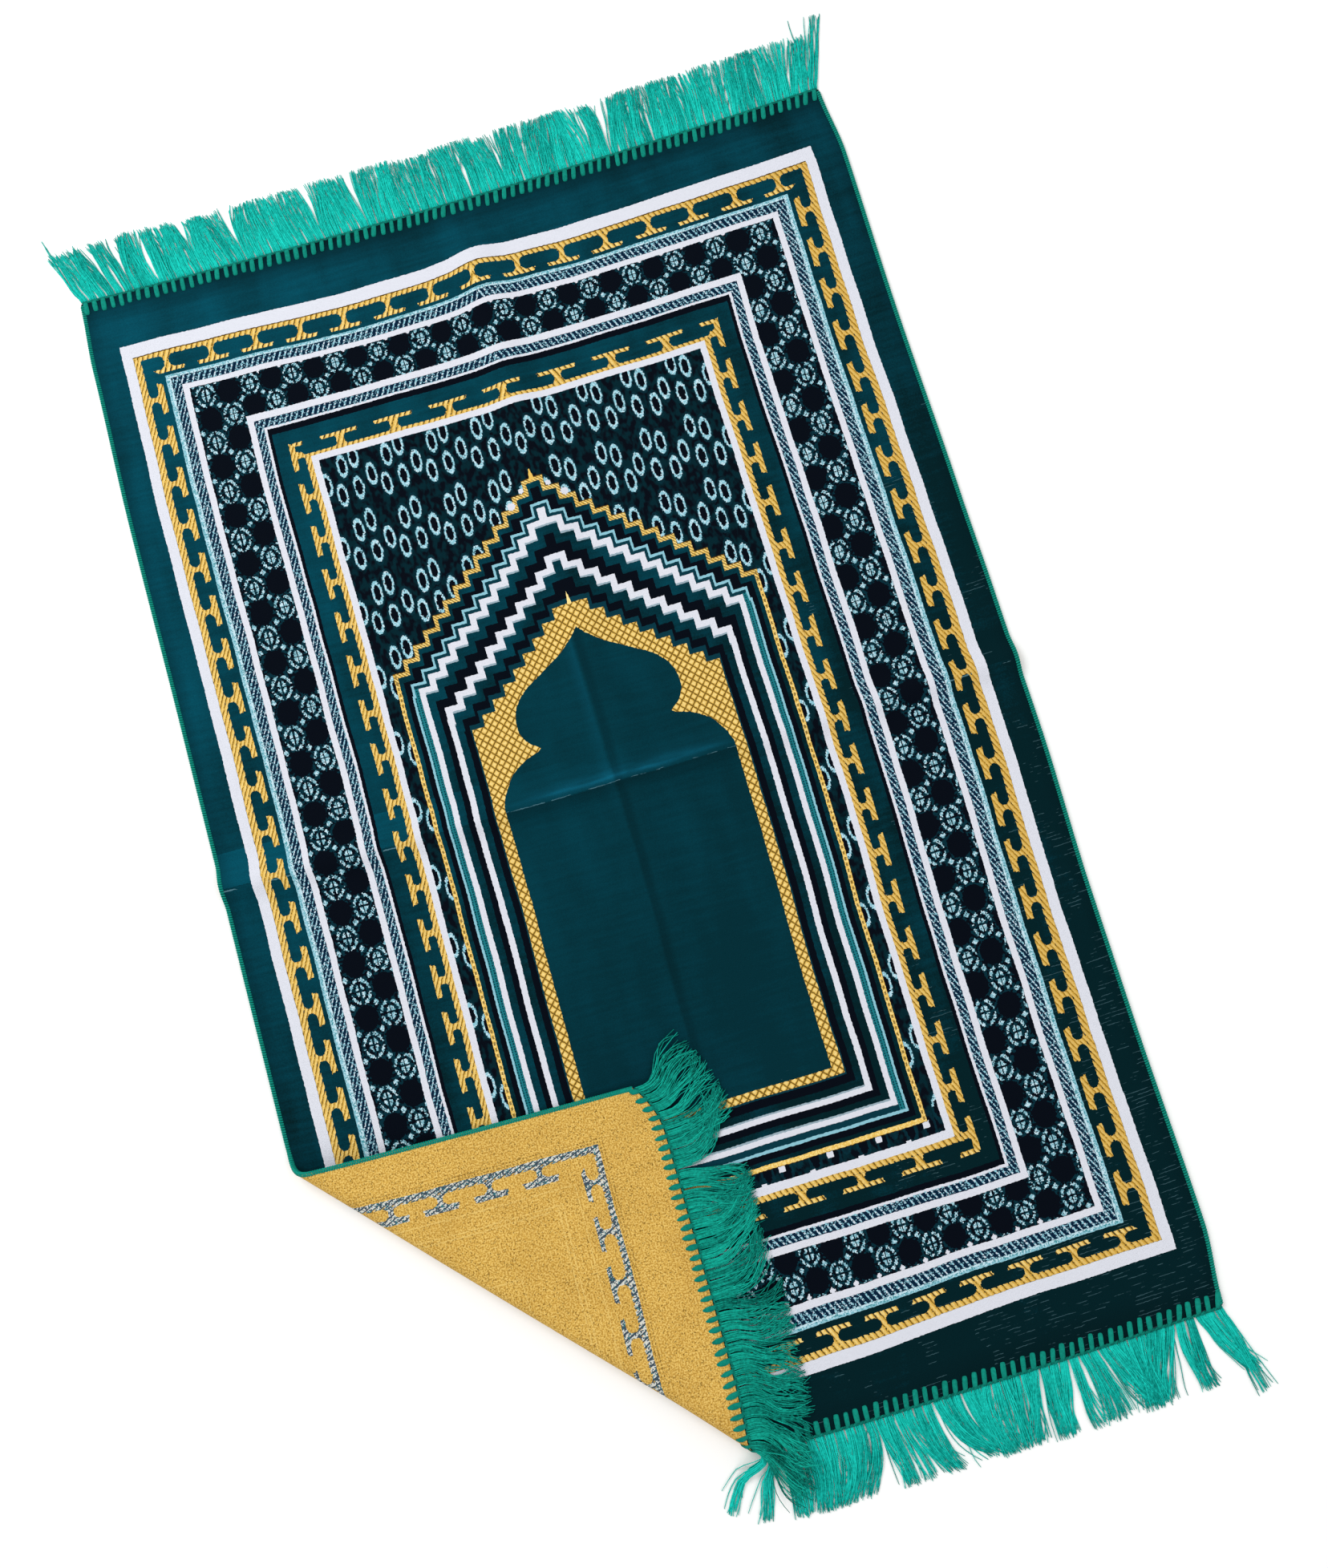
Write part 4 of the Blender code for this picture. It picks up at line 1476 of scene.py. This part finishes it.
@dataclass
class YarnFringe:
    """Loose yarns in place of the solid locks, all knotted into the same heading."""

    name: str
    node: str
    row: LockRow
    first: int
    last: int
    dyes: tuple[Dye, Dye]
    yarns_each: int = 21
    points: int = 10
    yarn_width: float = 0.00115
    yarn_height: float = 0.00080
    root_rise: tuple[float, float] = (0.0007, 0.0012)  # of the lowest layer, and up to the top one
    rest_rise: tuple[float, float] = (0.0005, 0.0013)
    root_out: float = 0.001
    curl: float = 0.0012
    clumping: float = 0.6
    sway: float = 0.8
    unruly: float = 1.4  # degrees that a yarn strays from its lock
    stray_degrees: float = 14.0
    stray_share: float = 0.04
    hook: float = 0.0  # degrees that the yarns turn up towards their tips on the flap
    hook_across: tuple[tuple[float, float], ...] = (
        (-0.34, 0.1), (-0.29, 1.0), (-0.15, 1.0), (-0.11, 0.3), (-0.06, 0.0),
    )
    wisps: tuple[float, float] = (0.25, 0.75)  # share of a stray lock that strays, left and right
    spread: tuple[float, float] = (0.80, 1.15)  # of a lock's pitch, at its root and its tip
    short_share: float = 0.05
    seed: int = 23

    def __post_init__(self) -> None:
        """Knot every yarn into the heading: its lock, its place in the lock and its layer."""
        row, sign = self.row, self.row.end.sign
        self.chance = np.random.default_rng(self.seed)
        self.lock = np.repeat(np.arange(self.first, self.last), self.yarns_each)
        self.count = len(self.lock)
        slot = (np.arange(self.yarns_each) + 0.5) / self.yarns_each - 0.5
        self.slot = np.tile(slot, self.last - self.first) + self.chance.uniform(-0.06, 0.06, self.count)
        self.layer = self.chance.uniform(0.0, 1.0, self.count)
        across = row.across[self.lock] + self.slot * row.pitch * self.spread[0]
        along = np.full(self.count, sign * (LAY.half_length + row.gap + self.root_out))
        rise = self.root_rise[0] + self.root_rise[1] * self.layer
        sheet = np.stack([across, along, rise], -1)
        self.root = LAY.place(sheet)
        self.ahead = LAY.facing(sheet, (0.0, sign, 0.0))
        self.above = LAY.facing(sheet, (0.0, 0.0, 1.0))
        self.angle = row.angle[self.lock]
        self.on_face = (self.angle >= row.floor_fan_end) & (sign < 0)
        self.flip = np.where(self.on_face, -1.0, 1.0)
        self.share = np.linspace(0.0, 1.0, self.points)[None, :]

    def aim(self) -> tuple[np.ndarray, np.ndarray]:
        """Turn every yarn the way its lock was combed.

        Returns:
            The heading of each yarn at each point, and which yarns are wisps of a stray lock.
        """
        row, sign, lock, chance, count = self.row, self.row.end.sign, self.lock, self.chance, self.count
        natural = np.arctan2(self.ahead[:, 1], self.ahead[:, 0])
        natural = np.where(self.on_face, natural, sign * np.pi / 2)
        falling = (self.angle > 0.0) & ~self.on_face & (sign < 0)
        natural = np.where(falling, -np.pi / 2 - row.floor_fan * self.angle / row.floor_fan_end, natural)
        combed = row.end.combed(row.across[lock])
        left, right = self.wisps
        wisps = row.strays[lock] & (chance.random(count) < np.where(row.across[lock] > 0.0, right, left))
        lean = np.where(row.strays[lock], combed, row.lean[lock] * self.sway + combed)
        lean = np.where(wisps, row.lean[lock], lean)
        wander = chance.normal(0.0, math.radians(self.unruly), count)
        stray = chance.random(count) < self.stray_share
        wander = np.where(stray, chance.normal(0.0, math.radians(self.stray_degrees), count), wander)
        hook = math.radians(self.hook) * np.interp(row.across, *zip(*self.hook_across))
        own = chance.uniform(-1.0, 1.0, row.count) * (0.08 + 0.5 * hook)
        bend = (row.bend * self.sway + hook + own)[lock]
        bend = bend + chance.normal(0.0, math.radians(1.5 * self.unruly), count)
        return (natural - sign * lean + wander)[:, None] + bend[:, None] * self.share, wisps

    def cut(self, wisps: np.ndarray) -> np.ndarray:
        """Cut the yarns to length, a few of them short.

        Args:
            wisps: Which yarns are wisps, which keep their lock's full length.

        Returns:
            The length of each yarn.
        """
        lengths = self.row.lengths[self.lock]
        length = np.where(wisps, lengths, np.minimum(lengths, self.row.length))
        length = length + 0.002 + self.chance.uniform(-0.004, 0.0015, self.count)
        short = self.chance.random(self.count) < self.short_share
        return np.where(short, length * self.chance.uniform(0.75, 0.9, self.count), length)

    def curls(self) -> tuple[np.ndarray, np.ndarray]:
        """Let every yarn curl from side to side, on its own and with its lock.

        Returns:
            The move sideways at each point, and where each yarn's own waves start.
        """
        chance, share = self.chance, self.share
        waves = chance.uniform(0.6, 1.7, self.count)[:, None]
        phase = chance.uniform(0.0, 2 * np.pi, self.count)[:, None]
        lock_phase = chance.uniform(0.0, 2 * np.pi, self.row.count)[self.lock][:, None]
        curl = self.curl * chance.uniform(0.2, 1.0, self.count)[:, None]
        swing = curl * np.sin(2 * np.pi * waves * share + phase) * share
        return swing + self.curl * 1.1 * np.sin(2 * np.pi * 0.8 * share + lock_phase) * share, phase

    def settle(self) -> tuple[np.ndarray, np.ndarray]:
        """Let the yarns fall from the heading and come to rest on what lies under them.

        Returns:
            The points of each yarn, and the direction out of the cloth at each point.
        """
        row, share, layer = self.row, self.share, self.layer
        heading, wisps = self.aim()
        reach = self.cut(wisps)[:, None] * share
        swing, phase = self.curls()
        forward = np.stack([np.cos(heading), np.sin(heading)], -1)
        sideways = np.stack([-forward[..., 1], forward[..., 0]], -1)
        sideways = sideways * (-row.end.sign * self.flip)[:, None, None]
        fan = self.slot[:, None] * row.pitch * (self.spread[1] - self.spread[0]) * share
        draw = row.draw[self.lock][:, None] * self.clumping * share**1.5 + fan + swing
        plan = self.root[:, None, :2] + forward * reach[..., None] + sideways * draw[..., None]
        face = LAY.thickness + row.clearance + LAY.crease_lift(plan[..., 0], plan[..., 1])
        under = np.where(self.on_face[:, None], face, 0.0)
        lift = (self.rest_rise[0] + self.rest_rise[1] * layer)[:, None] * (1.0 - 0.45 * share)
        flutter = 0.0004 * np.sin(2 * np.pi * share * 1.3 + phase) * share * (1 - share) * 4
        rest = np.concatenate([plan, (under + lift + flutter)[..., None]], axis=-1)
        free = self.root[:, None, :] + self.ahead[:, None, :] * reach[..., None]
        rested = ease(share / (0.16 + 0.4 * np.clip(self.angle, 0.0, 1.0))[:, None])[..., None]
        paths = free * (1 - rested) + rest * rested
        paths[..., 2] = np.maximum(paths[..., 2], self.yarn_height / 2)
        upright = np.stack([np.zeros(self.count), np.zeros(self.count), self.flip], -1)
        return paths, unit(self.above[:, None, :] * (1 - rested) + upright[:, None, :] * rested)

    def build(self) -> bpy.types.Object:
        """Spin every yarn along its lock, each with its own place, length and curl.

        Returns:
            The fringe.
        """
        chance, count, share = self.chance, self.count, self.share
        paths, over = self.settle()
        taper = 1.0 - 0.4 * share**4
        widths = self.yarn_width * chance.uniform(0.75, 1.25, count)[:, None] * taper
        heights = self.yarn_height * np.ones((count, 1)) * taper
        points, faces = spin_yarns(paths, widths, heights, over, 4)
        finish = SpunYarn(f"spun_acrylic_{self.name}", *self.dyes).material()
        piece = new_piece(self.name, points, faces, finish)
        # tones at random for each yarn and lock, plus painted light: yarns higher in the mass are lighter,
        # the lower ones in painted shade, and each yarn has a painted highlight towards its root
        tones = 0.15 + 0.35 * self.layer + chance.normal(0.0, 0.25, count)
        tones = tones + chance.normal(0.0, 0.16, self.row.count)[self.lock]
        tones = tones[:, None] + 0.45 * (1.0 - share) ** 1.5
        set_tones(piece, np.clip(tones, 0.0, 1.0).ravel(), 4)
        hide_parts(self.node)
        return piece


@dataclass
class HeadingCord:
    """Two dark strands twisted round each other along an end, over the roots of the fringe."""

    name: str
    end: End
    strand: float = 0.0018
    twist: float = 0.0055
    radius: float = 0.0006
    out: float = 0.0014
    rise: float = 0.0003
    end_gap: float = 0.001
    turn_points: int = 8

    def build(self) -> bpy.types.Object:
        """Twist the two strands.

        Returns:
            The cord.
        """
        half = LAY.half_width - self.end_gap
        across = np.arange(-half, half, self.twist / self.turn_points)
        turn = 2 * np.pi * across / self.twist
        paths, overs = [], []
        for start in (0.0, np.pi):
            along = self.end.sign * (LAY.half_length + self.out + self.radius * np.cos(turn + start))
            up = LAY.thickness / 2 + self.rise + self.radius * np.sin(turn + start)
            sheet = np.stack([across, along, up], -1)
            paths.append(LAY.place(sheet))
            overs.append(LAY.facing(sheet, (0.0, 0.0, 1.0)))
        paths, overs = np.array(paths), np.array(overs)
        size = np.full(paths.shape[:2], self.strand)
        points, faces = spin_yarns(paths, size, size, overs, 6)
        finish = SpunYarn(f"twisted_acrylic_{self.name}", Dye.STITCH, Dye.CORD).material()
        piece = new_piece(self.name, points, faces, finish)
        set_tones(piece, np.array([0.3, 0.6]), paths.shape[1] * 6)
        return piece


@dataclass(frozen=True)
class StitchSide:
    """One side of a stitch: how far in, how high over the cloth and how broad it is, from tip to edge."""

    inward: tuple[float, ...]
    rise: tuple[float, ...]
    breadth: tuple[float, ...]


@dataclass
class WhipStitches:
    """Overcast stitches of thick yarn, one to a lock, from the face over the end to the back."""

    name: str
    row: LockRow
    depth: float = 0.0104
    width: float = 0.0045
    height: float = 0.0012
    side_gap: float = 0.001
    turned_from: float = math.radians(60.0)  # on the roll past this angle the back of a stitch shows
    uneven: float = 0.05
    seed: int = 31
    face: StitchSide = StitchSide(
        (1.0, 0.95, 0.80, 0.45, 0.10, -0.10, -0.17),
        (-0.0007, 0.0001, 0.0004, 0.0005, 0.0004, -0.0005, -0.0014),
        (0.35, 0.80, 0.98, 1.0, 0.92, 0.80, 0.75),
    )
    back: StitchSide = StitchSide(
        (1.0, 0.84, 0.62, 0.36, 0.10, -0.12),
        (-0.0007, 0.0001, 0.0005, 0.0006, 0.0004, -0.0006),
        (0.10, 0.48, 0.88, 1.08, 0.95, 0.85),
    )

    def build(self) -> bpy.types.Object:
        """Lay each stitch over the end, pointed where it goes through the cloth.

        Returns:
            The stitches.
        """
        chance = np.random.default_rng(self.seed)
        turned = self.row.angle > self.turned_from
        points, faces, tones, first = [], [], [], 0
        for whole in (False, True):
            chosen = np.flatnonzero(turned == whole)
            if not len(chosen):
                continue
            strip, skin = self.stitch(chosen, whole, chance)
            points.append(strip)
            faces += [[corner + first for corner in face] for face in skin]
            first += len(strip)
            tone = chance.uniform(0.45, 0.8, len(chosen)) + (0.0 if whole else 0.2)
            tones.append(np.repeat(tone, len(strip) // len(chosen)))
        finish = SpunYarn(f"spun_acrylic_{self.name}", Dye.STITCH, Dye.STITCH_DEEP).material()
        piece = new_piece(self.name, np.concatenate(points), faces, finish)
        set_tones(piece, np.concatenate(tones), 1)
        return piece

    def stitch(
        self, chosen: np.ndarray, whole: bool, chance: np.random.Generator
    ) -> tuple[np.ndarray, list]:
        """Make the stitches of some locks.

        Args:
            chosen: Numbers of the locks.
            whole: Whether the back of the stitch shows, on the turned corner.
            chance: Source of the differences between stitches.

        Returns:
            The vertices, and the faces as vertex numbers.
        """
        row, sign, top = self.row, self.row.end.sign, LAY.thickness
        reach, breadth = np.array(self.face.inward), np.array(self.face.breadth)
        lift = top + np.array(self.face.rise)
        if whole:
            reach = np.concatenate([reach, self.back.inward[::-1]])
            lift = np.concatenate([lift, -np.array(self.back.rise[::-1])])
            breadth = np.concatenate([breadth, self.back.breadth[::-1]])
        depth = self.depth * chance.uniform(0.86, 1.06, len(chosen))[:, None] * reach
        slant = np.tan(row.end.slant(row.across[chosen]) + chance.normal(0.0, self.uneven, len(chosen)))
        half = LAY.half_width - self.side_gap
        across = np.clip(row.across[chosen][:, None] + depth * slant[:, None], -half, half)
        along = sign * (LAY.half_length - depth)
        sheet = np.stack([across, along, np.broadcast_to(lift, across.shape)], -1)
        upward, outward = LAY.facing(sheet, (0.0, 0.0, 1.0)), LAY.facing(sheet, (0.0, sign, 0.0))
        run = unit(np.gradient(np.stack([-depth[0], lift], -1), axis=0))
        over = outward * -run[:, 1][None, :, None] + upward * run[:, 0][None, :, None]
        widths = self.width * chance.uniform(0.88, 1.10, len(chosen))[:, None] * breadth
        heights = np.full(widths.shape, self.height) * np.sqrt(breadth)
        return spin_yarns(LAY.place(sheet), widths, heights, over, 8)


@dataclass
class Serging:
    """One side of the cloth wrapped in fine overlock thread, with its looped edge."""

    name: str
    side: float
    pitch: float = 0.0020
    inner: float = 0.0028
    outer: float = 0.0006
    thread: float = 0.00120
    purl: float = 0.0017
    purl_out: float = 0.0003
    slack: float = 0.0006
    rise: float = 0.0005  # over the middle of the cloth, on the flat
    loop: tuple[float, float] = (0.0015, 0.0004)  # half its height, and what the roll adds
    end_gap: float = 0.001
    turn_points: int = 8

    def build(self) -> bpy.types.Object:
        """Wind the thread round the edge, and run the looped edge along it.

        Returns:
            The wrapped edge.
        """
        low, high = self.end_gap - LAY.half_length, LAY.half_length - self.end_gap
        along = np.arange(low, high, self.pitch / self.turn_points)
        turn = 2 * np.pi * (along - low) / self.pitch
        middle = (self.outer - self.inner) / 2
        half = (self.outer + self.inner) / 2
        rolled = LAY.roll_angle(np.full_like(along, self.side * LAY.half_width), along) / np.pi
        lift = LAY.thickness / 2 + self.rise * (1 - rolled)
        wound = np.stack([
            self.side * (LAY.half_width + middle + half * np.cos(turn)),
            along + self.slack * np.cos(turn),
            lift + (self.loop[0] + self.loop[1] * rolled) * np.sin(turn),
        ], -1)
        out = LAY.half_width + self.purl_out + self.purl_out * np.cos(turn)
        edge = np.stack([self.side * out, along, lift], -1)[::2]
        points, faces = self.lay_thread(wound, turn, self.thread)
        purl_points, purl_faces = self.lay_thread(edge, np.zeros(len(edge)), self.purl)
        faces += [[corner + len(points) for corner in face] for face in purl_faces]
        finish = SpunYarn(f"overlock_thread_{self.name}", Dye.SERGING, Dye.STITCH_DEEP, fibre_mm=0.4)
        both = np.concatenate([points, purl_points])
        piece = new_piece(self.name, both, faces, finish.material())
        set_tones(piece, np.repeat([0.75, 0.95], [len(points), len(purl_points)]), 1)
        return piece

    def lay_thread(self, sheet: np.ndarray, turn: np.ndarray, thick: float) -> tuple[np.ndarray, list]:
        """Lay one thread along points of the flat sheet, pressed flat on the cloth.

        Args:
            sheet: Its path, as points by 3.
            turn: Direction out of the edge at each point, as an angle from outwards to up.
            thick: Thickness of the thread before it is pressed.

        Returns:
            The vertices, and the faces as vertex numbers.
        """
        outward = LAY.facing(sheet, (self.side, 0.0, 0.0))
        upward = LAY.facing(sheet, (0.0, 0.0, 1.0))
        over = unit(outward * np.cos(turn)[:, None] + upward * np.sin(turn)[:, None])
        size = np.ones((1, len(sheet)))
        return spin_yarns(LAY.place(sheet)[None], size * (thick * 1.5), size * (thick * 0.8), over[None], 5)


@dataclass(frozen=True)
class Softbox:
    """A large square light that hangs over the rug and is aimed at it."""

    name: str
    place: tuple[float, float, float]
    side: float
    watts: float

    def hang(self) -> None:
        """Hang the light."""
        light = bpy.data.lights.new(self.name, "AREA")
        light.shape = "SQUARE"
        light.size = self.side
        light.energy = self.watts
        lamp = bpy.data.objects.new(self.name, light)
        lamp.location = self.place
        lamp.rotation_mode = "QUATERNION"
        lamp.rotation_quaternion = (-Vector(self.place)).to_track_quat("-Z", "Y")
        bpy.context.scene.collection.objects.link(lamp)


@dataclass
class Studio:
    """A plain pale floor, soft light and the camera."""

    floor_half: float = 4.0
    floor_drop: float = 0.0003
    floor_white: str = "#F7F7F6"
    sky_white: str = "#FFFFFF"
    sky_strength: float = 0.75
    lights: tuple[Softbox, ...] = (
        Softbox("key_light", (-1.1, 1.3, 1.9), 1.4, 34.0),
        Softbox("fill_light", (1.6, -1.2, 2.2), 2.0, 14.0),
    )
    camera_place: tuple[float, float, float] = (0.02963, -0.17542, 1.18232)
    camera_right: tuple[float, float, float] = (0.9594, -0.27996, -0.03431)
    camera_down: tuple[float, float, float] = (-0.28204, -0.95079, -0.12826)
    camera_ahead: tuple[float, float, float] = (0.00329, 0.13273, -0.99115)
    lens: float = 33.13
    clip: tuple[float, float] = (0.01, 50.0)

    def build(self) -> None:
        """Set up the floor, the lights and the camera."""
        self.lay_floor()
        world = bpy.data.worlds.new("studio")
        world.use_nodes = True
        backdrop = world.node_tree.nodes["Background"]
        backdrop.inputs["Color"].default_value = linear(self.sky_white)
        backdrop.inputs["Strength"].default_value = self.sky_strength
        bpy.context.scene.world = world
        for light in self.lights:
            light.hang()
        self.set_camera()
        bpy.context.scene.view_settings.view_transform = "Standard"

    def lay_floor(self) -> None:
        """Lay a floor of matt white paint."""
        half = self.floor_half
        data = bpy.data.meshes.new("floor")
        square = [(-half, -half, 0.0), (half, -half, 0.0), (half, half, 0.0), (-half, half, 0.0)]
        data.from_pydata(square, [], [(0, 1, 2, 3)])
        floor = bpy.data.objects.new("floor", data)
        floor.location.z = -self.floor_drop
        bpy.context.scene.collection.objects.link(floor)
        paint = bpy.data.materials.new("matt_floor_paint")
        paint.use_nodes = True
        shader = paint.node_tree.nodes["Principled BSDF"]
        shader.inputs["Base Color"].default_value = linear(self.floor_white)
        shader.inputs["Roughness"].default_value = 0.9
        data.materials.append(paint)

    def set_camera(self) -> None:
        """Set the camera at the photograph's viewing angle."""
        lens = bpy.data.cameras.new("camera")
        lens.lens = self.lens
        lens.clip_start, lens.clip_end = self.clip
        camera = bpy.data.objects.new("camera", lens)
        bpy.context.scene.collection.objects.link(camera)
        right, down, ahead = (Vector(v) for v in (self.camera_right, self.camera_down, self.camera_ahead))
        turn = Matrix((right, -down, -ahead)).transposed().to_4x4()
        camera.matrix_world = Matrix.Translation(self.camera_place) @ turn
        bpy.context.scene.camera = camera


def main() -> None:
    """Build the rug piece by piece."""
    logging.basicConfig(level=logging.INFO, format="%(name)s: %(message)s")
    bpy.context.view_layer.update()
    head, foot = LockRow(End.HEAD), LockRow(End.FOOT)
    cloth = WovenCloth().build()
    # the turned corner's fringe is the same yarn in darker tones of painted shade
    bright, dark = (Dye.FRINGE, Dye.FRINGE_DEEP), (Dye.SHADED, Dye.SHADED_DEEP)
    parting = foot.parting
    makers = [
        YarnFringe("fringe_yarn_head", "fringe_top", head, 0, head.count, bright, sway=0.3),
        YarnFringe(
            "fringe_yarn_foot", "fringe_bottom", foot, parting, foot.count, bright,
            clumping=1.3, sway=1.2, seed=29,
        ),
        YarnFringe(
            "fringe_yarn_corner", "fringe_flap", foot, 0, parting, dark, yarn_width=0.00100,
            curl=0.0038, clumping=0.7, sway=0.9, unruly=2.6, hook=17.0, spread=(0.84, 1.15), seed=37,
        ),
        HeadingCord("heading_cord_head", End.HEAD),
        HeadingCord("heading_cord_foot", End.FOOT),
        WhipStitches("whip_stitches_head", head),
        WhipStitches("whip_stitches_foot", foot, seed=41),
        Serging("serging_left", -1.0),
        Serging("serging_right", 1.0),
    ]
    trimmings = [maker.build() for maker in makers]
    Studio().build()
    for piece in [cloth, *trimmings]:
        LOG.info("%s: %d faces", piece.name, len(piece.data.polygons))


if __name__ == "__main__":
    main()
